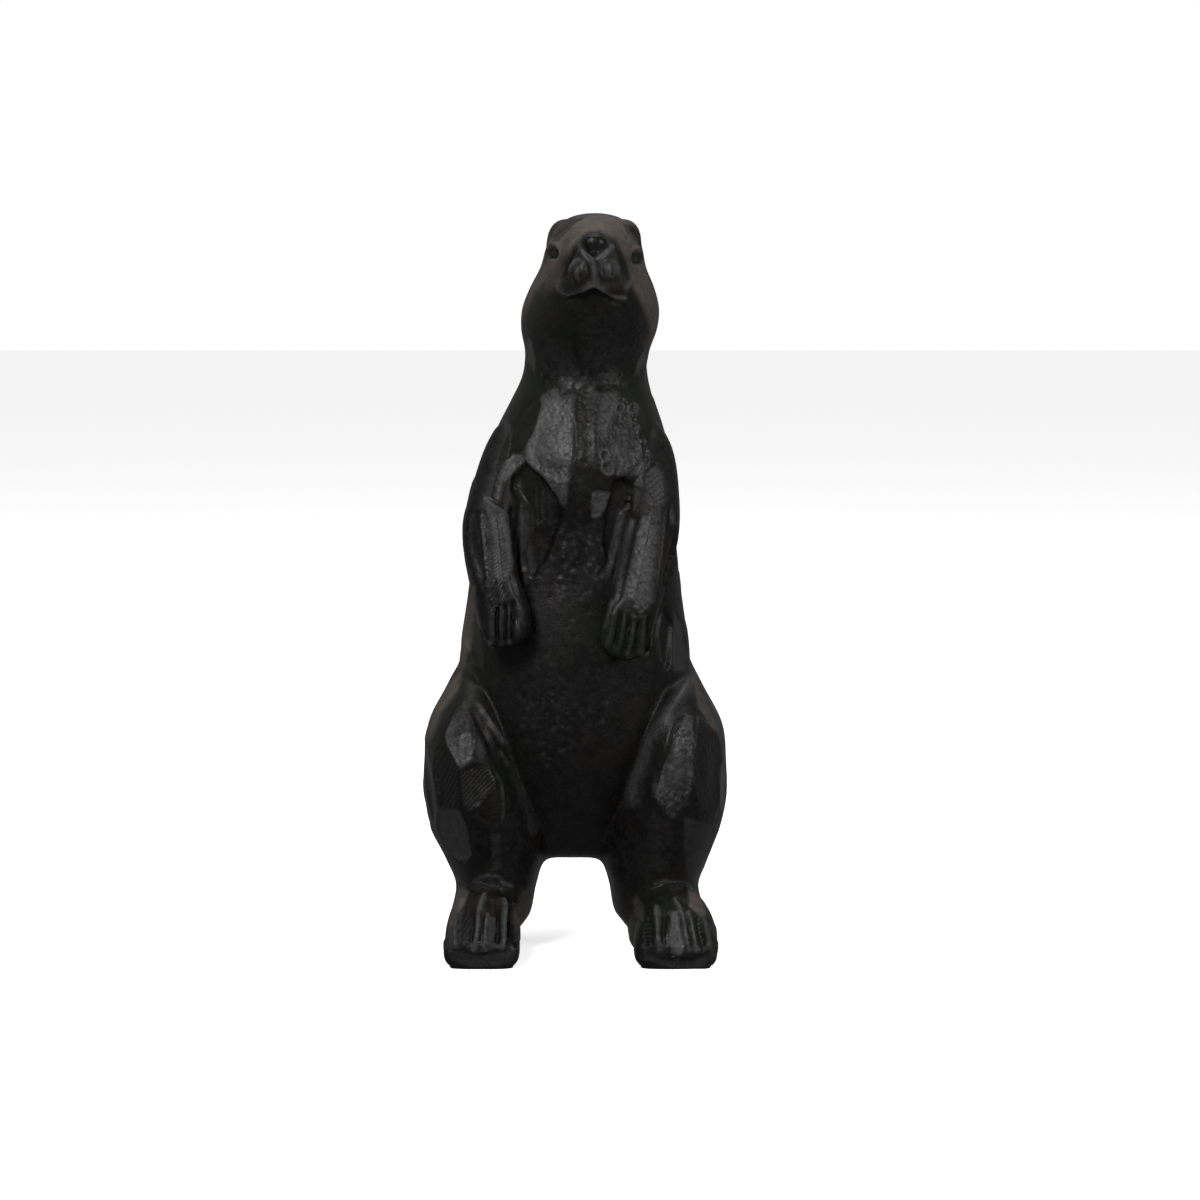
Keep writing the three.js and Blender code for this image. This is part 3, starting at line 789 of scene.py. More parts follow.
# painted light: the grey values paint highlights on the lit elbow, forearm and inner ridges, and shade on the outer
# side, in the inner groove and between the fingers
leftArmMarks = {
    "elbow": (plane, [(483.5, 496), (499, 505.5), (505, 510), (507, 519), (489, 519), (485.5, 508)],
              dict(soft=2, grey=0.6, gloss=0.5)),
    "forearm": (plane, [(488, 515), (507, 515), (511, 540), (513, 560), (512.5, 575), (504, 582.5), (493, 578),
                        (491.5, 565), (492.5, 548)],
                dict(depth=0.8, soft=2, grey=0.8, gloss=0.45, marks=(35, 1.1, 0.25))),
    "outerShade": (plane, [(470, 512), (485, 510), (490, 545), (491, 576), (484, 592), (473, 562), (466, 540)],
                   dict(depth=0.6, soft=3, grey=0.06, pits=0.7)),
    "innerGroove": (stroke, [(511, 503), (515, 525), (517.5, 545), (518, 562)],
                    dict(width=3.0, height=-1.0, grey=0.02)),
    "innerRidgeA": (stroke, [(520.7, 509), (521.5, 530), (520.5, 552), (523, 568), (526, 590)],
                    dict(width=1.6, height=0.7, grey=0.5)),
    "innerRidgeB": (stroke, [(525, 509), (525.5, 535), (523.5, 555)], dict(width=1.3, height=0.4, grey=0.3)),
    "innerRidgeC": (stroke, [(529, 510), (529.5, 525), (530, 540)], dict(width=1.3, height=0.4, grey=0.3)),
    "brownChip": (boss, (524, 569), dict(radii=(2.6, 3.4), height=0.3, grey=1, dust=1)),
    "handBack": (plane, [(487, 580), (492, 578.5), (504, 583), (508, 597), (503, 604), (490, 608), (486, 596)],
                 dict(depth=0.4, soft=2, grey=0.2, marks=(62, 1.2, 0.6))),
    "wrist": (plane, [(507, 583), (512.5, 576.5), (517, 585), (518.5, 595), (508, 592)],
              dict(depth=0.4, soft=2, grey=0.5)),
    "knuckleCrease": (stroke, [(486, 601), (492, 608), (503, 604)], dict(width=1.3, height=-0.4, grey=0.06)),
    "wristCurve": (stroke, [(491, 577.5), (486.5, 582), (485, 588)], dict(width=1.3, height=0.4, grey=0.8)),
    "fingerBackA": (stroke, [(492, 610), (491, 628), (493, 642)], dict(width=2.2, height=0.3, grey=0.3)),
    "fingerBackB": (stroke, [(501, 606), (501, 628), (502, 645)], dict(width=2.2, height=0.3, grey=0.32)),
    "fingerBackC": (stroke, [(509, 602), (509, 626), (509, 644)], dict(width=2.0, height=0.3, grey=0.26)),
    "fingerGapA": (stroke, [(497, 602), (496.5, 628), (497.5, 646)], dict(width=1.7, height=-1.7, grey=-0.2)),
    "fingerGapB": (stroke, [(505.5, 600), (505, 628), (506, 648)], dict(width=1.7, height=-1.7, grey=-0.2)),
    "fingerGapC": (stroke, [(513, 598), (512.8, 626), (512, 646)], dict(width=1.7, height=-1.7, grey=-0.2)),
    "fingerTipA": (boss, (492, 643), dict(radii=(4.4, 5), height=0.5, grey=0.25)),
    "fingerTipB": (boss, (501.5, 645), dict(radii=(4.4, 5), height=0.5, grey=0.25)),
    "fingerTipC": (boss, (509.5, 643), dict(radii=(3.6, 5), height=0.5, grey=0.25)),
    "fingerTipD": (boss, (517, 630), dict(radii=(5.5, 12), height=0.9, grey=0.18)),
    "clawLight": (stroke, [(490, 640), (491.5, 646), (494, 648)], dict(width=1.2, height=0.3, grey=1)),
    "outerEdge": (stroke, [(469, 566), (473, 590), (476, 607), (480, 632), (484, 638)],
                  dict(width=1.4, height=0.3, grey=0.6)),
}
# painted light: the grey values paint highlights on the lit forearm, ridges and knuckles, and shade on the outer side
# and between the fingers
rightArmMarks = {
    "smoothFacet": (plane, [(631, 518), (640, 512), (646, 515), (640, 535), (633, 555), (627, 577), (622, 600),
                            (616, 602), (619, 575), (624, 545)], dict(depth=0.6, grey=0.24, gloss=0.6)),
    "innerRidgeA": (stroke, [(624, 506), (621, 522), (617, 540), (612, 560), (607, 585)],
                    dict(width=2.4, height=0.8, grey=0.6)),
    "innerRidgeB": (stroke, [(628.6, 512), (626, 528), (624, 540), (619, 565), (614, 592)],
                    dict(width=1.7, height=0.4, grey=0.35)),
    "forearm": (plane, [(643, 522), (652, 508), (658, 514), (659, 552), (656, 577), (653.5, 599), (645, 606),
                        (636.5, 604), (625, 597), (628, 577), (635, 552)],
                dict(depth=0.6, soft=4, grey=0.6, gloss=0.55, pits=1)),
    "forearmLight": (tint, [(639, 540), (656, 536), (655, 575), (648, 592), (632, 590), (636, 560)],
                     dict(soft=7, grey=0.85)),
    "forearmPits": (pitting, [(641, 530), (655, 530), (656, 575), (650, 598), (630, 594), (634, 560)],
                    dict(count=46, size=2.3, depth=0.4, seed=5, grey=1)),
    "outerShade": (plane, [(659, 505), (672, 500), (679, 545), (676, 562), (666, 585), (656, 606), (656, 577),
                           (660, 550)], dict(soft=3, grey=0.04)),
    "thumbLine": (stroke, [(624, 599), (617, 608), (611.5, 618.5)], dict(width=1.8, height=0.6, grey=0.9)),
    "thumbEdge": (stroke, [(613, 596), (608, 615), (603, 634)], dict(width=1.6, height=0.4, grey=0.4)),
    "knuckleA": (boss, (636.7, 607.5), dict(radii=(3.4, 2.8), height=0.6, grey=0.8)),
    "knuckleB": (boss, (641, 612), dict(radii=(3.4, 2.8), height=0.6, grey=0.7)),
    "knuckleC": (boss, (633, 617), dict(radii=(3.4, 2.8), height=0.6, grey=0.6)),
    "knuckleD": (boss, (645, 608), dict(radii=(3.4, 2.8), height=0.6, grey=0.6)),
    "handPits": (pitting, [(626, 612), (652, 606), (652, 628), (628, 630)],
                 dict(count=14, size=2.2, depth=0.45, seed=6, grey=0.4)),
    "fingerBackA": (stroke, [(615, 610), (610, 634), (608, 644)], dict(width=2.2, height=0.3, grey=0.3)),
    "fingerBackB": (stroke, [(625, 614), (621, 638), (617, 651)], dict(width=2.2, height=0.3, grey=0.28)),
    "fingerBackC": (stroke, [(635, 620), (631, 640), (628, 654)], dict(width=2.2, height=0.3, grey=0.32)),
    "fingerBackD": (stroke, [(645, 620), (642, 640), (639, 652)], dict(width=2.2, height=0.3, grey=0.25)),
    "fingerGapA": (stroke, [(621, 608), (616, 636), (613, 653)], dict(width=1.7, height=-1.7, grey=-0.2)),
    "fingerGapB": (stroke, [(630, 614), (626, 642), (622, 659)], dict(width=1.7, height=-1.7, grey=-0.2)),
    "fingerGapC": (stroke, [(640, 618), (637, 642), (634, 659)], dict(width=1.7, height=-1.7, grey=-0.2)),
    "fingerGapD": (stroke, [(650, 614), (648, 640), (645, 655)], dict(width=1.7, height=-1.7, grey=-0.2)),
    "fingerTipA": (boss, (608, 645), dict(radii=(4.6, 6), height=0.5, grey=0.25)),
    "fingerTipB": (boss, (617.5, 652), dict(radii=(4.6, 6), height=0.5, grey=0.25)),
    "fingerTipC": (boss, (628, 655), dict(radii=(4.6, 6), height=0.5, grey=0.3)),
    "fingerTipD": (boss, (639.5, 653), dict(radii=(4.6, 6), height=0.5, grey=0.3)),
    "fingerTipE": (boss, (650, 645), dict(radii=(4.6, 6), height=0.5, grey=0.2)),
    "fingerFacet": (plane, [(627, 646), (636, 641), (633, 657), (626, 660)],
                    dict(depth=0.3, soft=1.6, grey=0.5)),
}
# painted light: the grey values paint lighter pit rims and lit flank planes, and shade in the right hollow
trunkMarks = {
    "bellyPits": (pitting, [(536, 505), (562, 512), (600, 520), (606, 560), (600, 592), (585, 600), (548, 598),
                            (534, 560)], dict(count=110, size=2.3, depth=0.38, seed=21, grey=0.4)),
    "chippedPatch": (pitting, [(588, 536), (602, 536), (602, 588), (588, 588)],
                     dict(count=22, size=2.2, depth=0.4, seed=25, grey=0.7)),
    "roughLine": (pitting, [(561, 532), (567, 532), (567, 600), (561, 600)],
                  dict(count=16, size=2.2, depth=-0.4, seed=26, grey=0.7)),
    "midPits": (pitting, [(545, 610), (605, 610), (610, 690), (545, 690)],
                dict(count=22, size=2.2, depth=0.3, seed=22, grey=0.35)),
    "lowerPits": (pitting, [(518, 694), (567, 690), (568, 765), (545, 768), (522, 745)],
                  dict(count=80, size=2.4, depth=0.36, seed=23, grey=0.4)),
    "lowerRightPits": (pitting, [(572, 696), (612, 700), (606, 756), (575, 760)],
                       dict(count=30, size=2.2, depth=0.3, seed=24, grey=0.35)),
    "rightHollow": (sink, [(665, 606), (674, 628), (671, 660), (667, 670), (661, 656), (659, 634)],
                    dict(depth=1.4, soft=3, grey=0.07)),
    "rightHollowLip": (stroke, [(665, 607), (659.5, 622), (658, 638), (661.5, 660), (668, 674)],
                       dict(width=1.6, height=0.6, grey=0.45)),
    "rightHollowEdge": (stroke, [(673.5, 622), (671.5, 645), (670, 670)], dict(width=1.6, height=0.5, grey=0.35)),
    "rightFlank": (plane, [(675, 612), (684, 625), (689, 655), (687, 670), (673, 672), (673, 645)],
                   dict(depth=0.6, grey=0.3, gloss=0.5)),
    "leftFlank": (plane, [(469, 610), (479, 626), (485, 645), (484, 670), (471, 662), (464, 640)],
                  dict(depth=0.6, soft=3, grey=0.18)),
    "leftCrease": (stroke, [(466, 656), (473, 672), (481, 686)], dict(width=1.9, height=0.6, grey=0.35)),
    # painted warm light: a warm tan rim along the flank's outer edge
    "leftFlankDust": (tint, [(475, 585), (466, 598), (459, 640), (456, 668), (466, 668), (468, 640), (475, 610)],
                      dict(dust=0.6, grey=0.25)),
}
# painted light: the grey values paint highlights on the lit facets and ridges, and shade in the crease, the groove and
# on the dark hatched and inner planes
leftThighMarks = {
    # painted warm light: a warm tan rim along the thigh's outer edge
    "outerDust": (tint, [(463, 668), (448, 684), (434, 705), (422, 742), (429, 742), (442, 712), (458, 690)],
                  dict(soft=7, dust=0.6, grey=0.2, gloss=0.2)),
    "upperFacet": (plane, [(464, 702), (471, 720), (473, 735), (472, 761.5), (460, 770.5), (446, 747), (445, 733),
                           (455, 711)], dict(depth=0.9, soft=2, grey=0.3, gloss=0.5, pits=0.5)),
    "upperFacetChips": (tint, [(446, 737), (472, 732), (472, 761), (460, 770), (447, 748)],
                        dict(soft=3, grey=0.6)),
    "upperFacetPits": (pitting, [(447, 736), (472, 733), (471, 760), (461, 768)],
                       dict(count=12, size=2.4, depth=0.4, seed=31, grey=1)),
    "upperFacetEdge": (stroke, [(446.5, 747), (453, 758), (460, 770)], dict(width=1.4, height=0.4, grey=0.9)),
    "darkHatched": (plane, [(436, 746), (445.5, 743), (458.5, 769.5), (459, 807.5), (440.5, 807.5), (432, 763)],
                    dict(depth=0.9, soft=2, grey=0.06, marks=(60, 1.5, 0.5))),
    "warmHatched": (plane, [(460.5, 771.5), (479, 764), (489, 770), (495, 784), (481, 803), (468, 812), (461.5, 803)],
                    dict(depth=0.8, soft=2, grey=0.12, dust=0.04, marks=(48, 1.2, 0.6))),
    "innerDark": (plane, [(482, 805), (496, 786), (502, 805), (500, 826), (484, 830), (472, 818)],
                  dict(soft=5, depth=0.3, grey=0.03, pits=0.7)),
    "shin": (plane, [(438, 809.5), (459, 809.5), (470, 831.5), (470.5, 856), (463.5, 863), (446, 853), (437.5, 827)],
             dict(depth=0.8, soft=2, grey=0.4, gloss=0.35)),
    # painted rim sheen: a lighter band along the thigh's outer edge
    "silverEdge": (plane, [(424, 742), (430, 760), (434, 790), (438, 812), (436, 830), (427, 790)],
                   dict(depth=0.4, grey=0.4)),
    "crease": (stroke, [(459, 770), (459.5, 790), (461, 808), (470, 832), (471, 850)],
               dict(width=1.5, height=-0.8, fade=0.08, grey=0)),
    "ridge": (stroke, [(476, 700), (489, 721), (499, 736), (508, 751)],
              dict(width=2.2, height=0.9, grey=0.75, gloss=0.6)),
    "ridgeEnd": (stroke, [(499, 749), (504, 759), (509.5, 769)], dict(width=1.6, height=0.6, grey=0.6)),
    "ridgeFade": (stroke, [(508, 751), (512, 770), (518, 785), (526, 806), (535, 832)],
                  dict(width=3.2, height=0.8, grey=0.25)),
    "groove": (stroke, [(470, 707), (482, 728), (492, 748), (499, 768)], dict(width=3.6, height=-0.9, grey=0.03)),
    "smallRidgeA": (stroke, [(489, 771), (494, 781)], dict(width=1.3, height=0.4, fade=0, grey=0.6)),
    "smallRidgeB": (stroke, [(495, 770), (502, 784), (504, 807), (502, 826)],
                    dict(width=1.4, height=0.5, grey=0.3)),
    "calfBand": (tint, [(491, 834), (500, 834), (502, 868), (492, 872)], dict(grey=0.25)),
    "kneePatch": (boss, (533, 829), dict(radii=(7, 9), height=0.4, grey=0.28)),
}
# painted light: the grey values paint highlights on the ridge and the chipped facet, and shade in the groove and on the
# outer side
rightThighMarks = {
    # painted warm light: a warm tan rim along the thigh's outer edge
    "outerDust": (tint, [(692, 672), (700, 690), (716, 722), (722, 738), (710, 726), (698, 705)],
                  dict(dust=0.6, grey=0.25)),
    "ridge": (stroke, [(697, 672), (686, 688), (675, 703), (662, 722), (649, 741), (642, 764), (635, 784), (630, 812)],
              dict(width=5.5, height=1.1, fade=0.1, grey=0.6, gloss=0.6)),
    "groove": (stroke, [(686, 714), (674, 731), (667, 753), (658, 772), (654, 798)],
               dict(width=2.6, height=-1.1, grey=0.03)),
    "chippedFacet": (plane, [(686, 714.5), (694, 717), (693, 737), (693, 760), (694, 775), (686, 803), (671.5, 821),
                             (655.5, 801.5), (656, 783), (664, 760), (674, 737), (680, 723)],
                     dict(depth=1.0, soft=2, grey=0.5, gloss=0.45, pits=0.9)),
    "facetShade": (tint, [(668, 790), (692, 780), (688, 803), (671, 821), (656, 803)], dict(soft=8, grey=0.22)),
    "facetLight": (stroke, [(656, 783), (657, 790), (657, 800)], dict(width=2.6, height=0.3, grey=0.8)),
    "facetPits": (pitting, [(664, 762), (692, 755), (690, 800), (672, 818), (658, 800)],
                  dict(count=60, size=2.2, depth=0.32, seed=32, grey=0.7)),
    "outerShade": (plane, [(697, 716), (718, 731), (723, 760), (720, 803), (713, 823), (697, 817), (692, 789),
                           (695, 746)], dict(depth=0.7, grey=0.06, pits=0.9)),
    # painted rim sheen: a lighter band along the thigh's outer edge
    "silverEdge": (plane, [(721.5, 764), (727, 770), (727, 800), (721, 812)], dict(depth=0.4, soft=2, grey=0.5)),
    "shin": (tint, [(684, 818), (697, 820), (713, 826), (708, 850), (700, 880), (688, 880), (684, 850)],
             dict(soft=4, grey=0.32, gloss=0.35)),
    "calf": (tint, [(652, 812), (670, 824), (676, 850), (668, 872), (650, 868), (648, 835)],
             dict(soft=8, grey=0.14)),
}
# painted light: the grey values paint highlights on the toe ridges and ankle lines, and shade in the toe line and the
# gaps between the toes
leftFootMarks = {
    "ankleArc": (stroke, [(471, 883), (479, 878.5), (487, 875.5), (496, 876.5), (504, 880)],
                 dict(width=1.5, height=0.5, grey=0.45)),
    "ankleLine": (stroke, [(498, 880), (506, 884), (514, 887.5)], dict(width=1.3, height=0.6, grey=0.7)),
    "anklePlane": (plane, [(473, 883), (490, 877), (512, 888), (508, 892), (488, 889), (474, 889)],
                   dict(depth=0.3, grey=0.24)),
    "toeLine": (stroke, [(459, 898), (470, 889), (486, 892), (499, 892), (510, 902), (517, 928)],
                dict(width=2.2, height=-0.9, grey=0.02)),
    # painted warm light: a warm tan rim along the foot's outer edge
    "outerDust": (tint, [(456, 888), (469, 890), (464, 905), (452, 925), (447, 925), (452, 905)],
                  dict(soft=3, dust=0.5, grey=0.45)),
    # painted warm light: a warm tan rim along the foot's inner edge
    "innerDust": (tint, [(522, 890), (536, 890), (532, 915), (520, 935), (514, 915)],
                  dict(soft=6, dust=0.45, grey=0.18)),
    "toeA": (plane, [(460.5, 909), (472, 908), (469, 943), (458, 944), (457, 925)],
             dict(depth=0.7, soft=2, grey=0.06, marks=(60, 1.3, 0.4))),
    "toeAKnuckle": (plane, [(469, 891), (478, 891), (476, 905), (466, 905)], dict(depth=0.7, soft=2, grey=0.14)),
    "toeB": (plane, [(488, 917), (498.5, 917), (499, 940), (495, 951), (487, 950), (486, 935)],
             dict(depth=0.7, soft=2, grey=0.3)),
    "toeBKnuckle": (plane, [(489, 900), (499, 899), (499, 914), (489, 914)], dict(depth=0.7, soft=2, grey=0.2)),
    "toeC": (plane, [(508, 908), (515, 912), (518, 942), (510, 943), (507, 928)],
             dict(depth=0.7, soft=2, grey=0.04)),
    "outerFacet": (plane, [(446, 920), (454, 912), (454, 948), (449, 958), (445, 945)],
                   dict(depth=0.7, soft=2, grey=0.3)),
    "ridgeA": (stroke, [(463, 897), (456, 922), (455, 950)], dict(width=1.8, height=1.0, fade=0.06, grey=0.6)),
    "ridgeB": (stroke, [(485.5, 891), (479.5, 910), (478, 930), (475.5, 944), (473, 953)],
               dict(width=2.4, height=1.3, fade=0.06, grey=1, gloss=0.6)),
    "ridgeC": (stroke, [(488, 912), (485.5, 930), (484.5, 945), (485, 952)],
               dict(width=1.8, height=1.0, fade=0.06, grey=0.85, gloss=0.6)),
    "ridgeD": (stroke, [(503, 896), (505, 908), (503.5, 925), (504, 940), (501, 952)],
               dict(width=2.3, height=1.3, fade=0.06, grey=0.95, gloss=0.6)),
    "ridgeE": (stroke, [(513, 902), (518, 925), (518, 942)], dict(width=1.6, height=0.8, fade=0.06, grey=0.45)),
    "gapA": (stroke, [(472.5, 900), (472.5, 925), (470, 948)], dict(width=1.8, height=-1.5, grey=-0.2)),
    "gapB": (stroke, [(482, 908), (481.5, 930), (480, 948)], dict(width=1.5, height=-1.5, grey=-0.2)),
    "gapC": (stroke, [(498.5, 898), (499, 925), (497.5, 948)], dict(width=1.6, height=-1.4, grey=-0.2)),
    "gapD": (stroke, [(510, 902), (510.5, 925), (508, 948)], dict(width=1.8, height=-1.3, grey=-0.2)),
    # a lighter grey bevel along the toe tips
    "wornTips": (plane, [(448, 950), (480, 955), (517, 948), (513, 962), (500, 966), (470, 967), (450, 960)],
                 dict(depth=0.3, soft=3, grey=0.26, gloss=0.5)),
}
# painted light: the grey values paint highlights on the toe ridges and ankle lines, and shade in the toe line and the
# gaps between the toes
rightFootMarks = {
    "ankleLineA": (stroke, [(652, 885), (662, 881.5), (670, 880)], dict(width=1.4, height=0.5, grey=0.65)),
    "ankleLineB": (stroke, [(681, 883), (687, 885.5), (693, 890)], dict(width=1.4, height=0.5, grey=0.65)),
    "anklePlane": (plane, [(667, 880), (682, 878), (686, 886), (676, 894), (668, 888)],
                   dict(depth=0.3, grey=0.24)),
    "toeLine": (stroke, [(645, 906), (650, 895), (664, 890), (676, 898), (690, 905), (703, 915)],
                dict(width=2.6, height=-0.8, grey=0.02)),
    "innerLight": (tint, [(633, 900), (637, 895), (644, 908), (643, 922), (634, 915)], dict(grey=0.4, dust=0.12)),
    # painted warm light: a warm tan rim along the foot's outer edge
    "outerDust": (tint, [(688, 890), (700, 893), (707, 915), (700, 916), (690, 905)], dict(grey=0.4, dust=0.5)),
    "toeA": (plane, [(645, 918), (653, 915), (655, 945), (644, 947), (643, 930)],
             dict(depth=0.7, soft=2, grey=0.06, pits=0.3, marks=(15, 1.3, 0.4))),
    "toeB": (plane, [(664, 912), (671, 912), (668, 930), (672, 954), (666, 948), (664, 930)],
             dict(depth=0.7, soft=2, grey=0.05)),
    "toeC": (plane, [(672, 911), (677, 911.5), (680, 922), (684, 940), (684, 952), (680, 956), (674, 954),
                     (669, 938), (671, 925)], dict(depth=0.7, soft=2, grey=0.95, gloss=0.6, pits=0.3)),
    "toeD": (plane, [(694, 915), (701, 919), (706, 940), (705, 954), (698, 954), (696, 935)],
             dict(depth=0.7, soft=2, grey=0.1, marks=(10, 1.4, 0.5))),
    "outerFacet": (plane, [(709, 930), (717, 942), (717, 958), (712, 958)], dict(depth=0.7, soft=2, grey=0.22)),
    "knuckle": (boss, (657.5, 914), dict(radii=(6, 9), height=0.9, grey=0.5)),
    "ridgeA": (stroke, [(657, 904), (657.5, 925), (658, 940), (660.5, 953)],
               dict(width=2.3, height=1.2, fade=0.06, grey=0.75, gloss=0.6)),
    "ridgeB": (stroke, [(673, 895), (679, 908), (683, 919), (686, 936), (689, 953)],
               dict(width=1.9, height=1.2, fade=0.06, grey=1, gloss=0.6)),
    "ridgeC": (stroke, [(687, 910), (692.5, 932), (697, 953)],
               dict(width=2.1, height=1.2, fade=0.06, grey=0.95, gloss=0.6)),
    "ridgeD": (stroke, [(701, 912), (709, 938), (713, 953)], dict(width=1.9, height=0.9, fade=0.06, grey=0.45)),
    "gapA": (stroke, [(650, 906), (651.5, 925), (652, 945)], dict(width=1.6, height=-1.4, grey=-0.2)),
    "gapB": (stroke, [(665.5, 908), (663.5, 930), (665, 950)], dict(width=2, height=-1.5, grey=-0.2)),
    "gapC": (stroke, [(686.5, 914), (689.5, 932), (692.5, 952)], dict(width=1.3, height=-1.3, grey=-0.2)),
    "gapD": (stroke, [(697, 914), (703, 935), (705, 952)], dict(width=1.6, height=-1.2, grey=-0.1)),
    # a lighter grey bevel along the toe tips
    "wornTips": (plane, [(641, 953), (665, 960), (690, 960), (716, 950), (714, 964), (700, 968), (672, 968),
                         (644, 960)], dict(depth=0.3, soft=3, grey=0.26, gloss=0.5)),
    "whiteChipA": (boss, (673, 957), dict(radii=(2.4, 1.8), height=0.3, grey=1)),
    "whiteChipB": (boss, (678, 960), dict(radii=(2.4, 1.8), height=0.3, grey=1)),
}
# the sides and the back, in millimetres: across as seen from there, height
# painted light: the grey values paint shade in the ear folds and round the tail, and highlights on the ear edges
backMarks = {
    "leftEarFold": (stroke, [(-17, 240), (-17, 222), (-15, 205)], dict(width=1.1, height=-0.8, side="back", grey=0.03)),
    "rightEarFold": (stroke, [(4, 240), (4, 222), (3, 205)], dict(width=1.1, height=-0.8, side="back", grey=0.03)),
    "leftEarEdge": (stroke, [(-20, 238), (-21, 222), (-18, 203)],
                    dict(width=0.8, height=0.4, side="back", grey=0.5)),
    "rightEarEdge": (stroke, [(8, 238), (8, 222), (6, 203)], dict(width=0.8, height=0.4, side="back", grey=0.5)),
    "tailEdge": (stroke, [(-8, 36), (-9.5, 46), (-6, 60), (0, 64), (6, 60), (9.5, 46), (8, 36)],
                 dict(width=1.2, height=-0.7, side="back", grey=0.03)),
}
plainFacets = {  # side: how many broad tool facets, and the seed that places them
    "back": (95, 41),
    "left": (60, 42),
    "right": (60, 43),
}
facetSize = (5, 9.5)  # half widths, millimetres
hatchedShare = 0.25  # how many of those facets show tool marks


def carvePlainSide(side, count, seed):
    dice = np.random.default_rng(seed)
    points, normals = stone["points"], stone["normals"]
    hidden = stone["front"]["facing"] < 0.1  # the camera's own side is carved by the listed marks
    for spot in dice.choice(np.flatnonzero((stone[side]["facing"] > 0.55) & hidden), count):
        half = dice.uniform(*facetSize) / 1000
        near = np.flatnonzero(np.abs(points - points[spot]).max(1) < half * 1.3)
        near = near[hidden[near] & (normals[near] @ normals[spot] > 0.6)]
        gap = np.linalg.norm((points[near] - points[spot]) * dice.uniform(0.75, 1.25, 3), axis=1)
        mask = 1 - smoothStep(gap, half - 0.0012, half)
        near, mask = near[mask > 0.01], mask[mask > 0.01]
        flatten(near, mask, 0.2, 0.3, 0.8)
        paint(near, mask, {"grey": dice.uniform(0.02, 0.4), "pits": dice.uniform(0, 0.8)})
        if dice.uniform() < hatchedShare:
            stone["markPlace"][near] = points[near] @ dice.normal(size=3) * 400
            stone["marks"][near] = 0.5 * mask


softPlaces = {  # upper left and lower right in the picture, and the rounds of smoothing there
    "crotchArch": ((526, 842), (618, 884), 45),
    "underBreast": ((560, 496), (604, 545), 40),
    "leftPocketEnd": ((518, 530), (564, 604), 34),
    "rightPocketEnd": ((598, 530), (622, 590), 20),
}


def soften(corners, rounds):
    front, points = stone["front"], stone["points"]
    low, high = np.array(corners)
    place = np.stack([front["column"], front["row"]], 1)
    near = ((place > low) & (place < high)).all(1) & (points[:, 1] < 0.04)
    keep = near.astype(float)
    for step in range(4):
        keep = averageAround(keep)
    ring = np.flatnonzero(keep > 0)
    inRing = np.isin(stone["ends"], ring).all(1)
    first, second = np.searchsorted(ring, stone["ends"][inRing]).T
    amount = (0.8 * keep[ring])[:, None]
    degree = np.bincount(np.r_[first, second], minlength=len(ring)).clip(1)[:, None]
    spots = points[ring]
    for step in range(rounds):
        total = np.zeros_like(spots)
        np.add.at(total, first, spots[second])
        np.add.at(total, second, spots[first])
        spots += amount * (total / degree - spots)
    points[ring] = spots


for low, high, rounds in softPlaces.values():
    soften((low, high), rounds)
readNormals()
for marks in (headMarks, chestMarks, leftArmMarks, rightArmMarks, trunkMarks, leftThighMarks, rightThighMarks,
              leftFootMarks, rightFootMarks):
    carve(marks)
print("front carved")
for side, (count, seed) in plainFacets.items():
    carvePlainSide(side, count, seed)
    readNormals()
carve(backMarks)
print("sides and back carved")


# one piece, under its limit of triangles, with what is painted on it
def keepInBox():
    low, high = np.array(cadBox[0]), np.array(cadBox[1])
    points = stone["points"]
    np.clip(points, low + 1e-5, high - 1e-5, out=points)
    sole = (points[:, 2] < 0.0006) & (stone["normals"][:, 2] < -0.5)
    points[sole, 2] = 1e-5
    readNormals()


def detail():
    rough = sum(np.abs(stone[name] - averageAround(stone[name])) for name in ("grey", "dust", "pits"))
    for step in range(3):
        rough = np.maximum(rough, averageAround(rough))
    return np.clip(rough * 12, 0, 1)


def makePiece():
    piece = bpy.data.objects.new(pieceName, mesh)
    mesh.name = pieceName
    bpy.context.collection.objects.link(piece)
    plain = piece.vertex_groups.new(name="plain")
    weights = np.clip(1 - 0.75 * detail() * (stone["front"]["facing"] > 0), 0.1, 1).round(1)
    for weight in np.unique(weights):
        plain.add(np.flatnonzero(weights == weight).tolist(), float(weight), "REPLACE")
    thin = piece.modifiers.new("fewer triangles", "DECIMATE")
    thin.ratio = min(1, block["mostTriangles"] / (2 * len(mesh.polygons)))
    thin.vertex_group = "plain"
    thinned = bpy.data.meshes.new_from_object(piece.evaluated_get(bpy.context.evaluated_depsgraph_get()))
    piece.modifiers.remove(thin)
    piece.vertex_groups.clear()
    piece.data = thinned
    thinned.name = pieceName
    return piece


def paintPiece(piece):
    tree = KDTree(len(stone["points"]))
    for i, point in enumerate(stone["points"]):
        tree.insert(point, i)
    tree.balance()
    nearest = [tree.find(vert.co)[1] for vert in piece.data.vertices]
    for name in paints:
        layer = piece.data.attributes.new(name, "FLOAT", "POINT")
        layer.data.foreach_set("value", stone[name][nearest].astype(np.float32))
    piece.data.shade_smooth()


keepInBox()
piece = makePiece()
paintPiece(piece)
print("piece made:", len(piece.data.polygons), "faces")


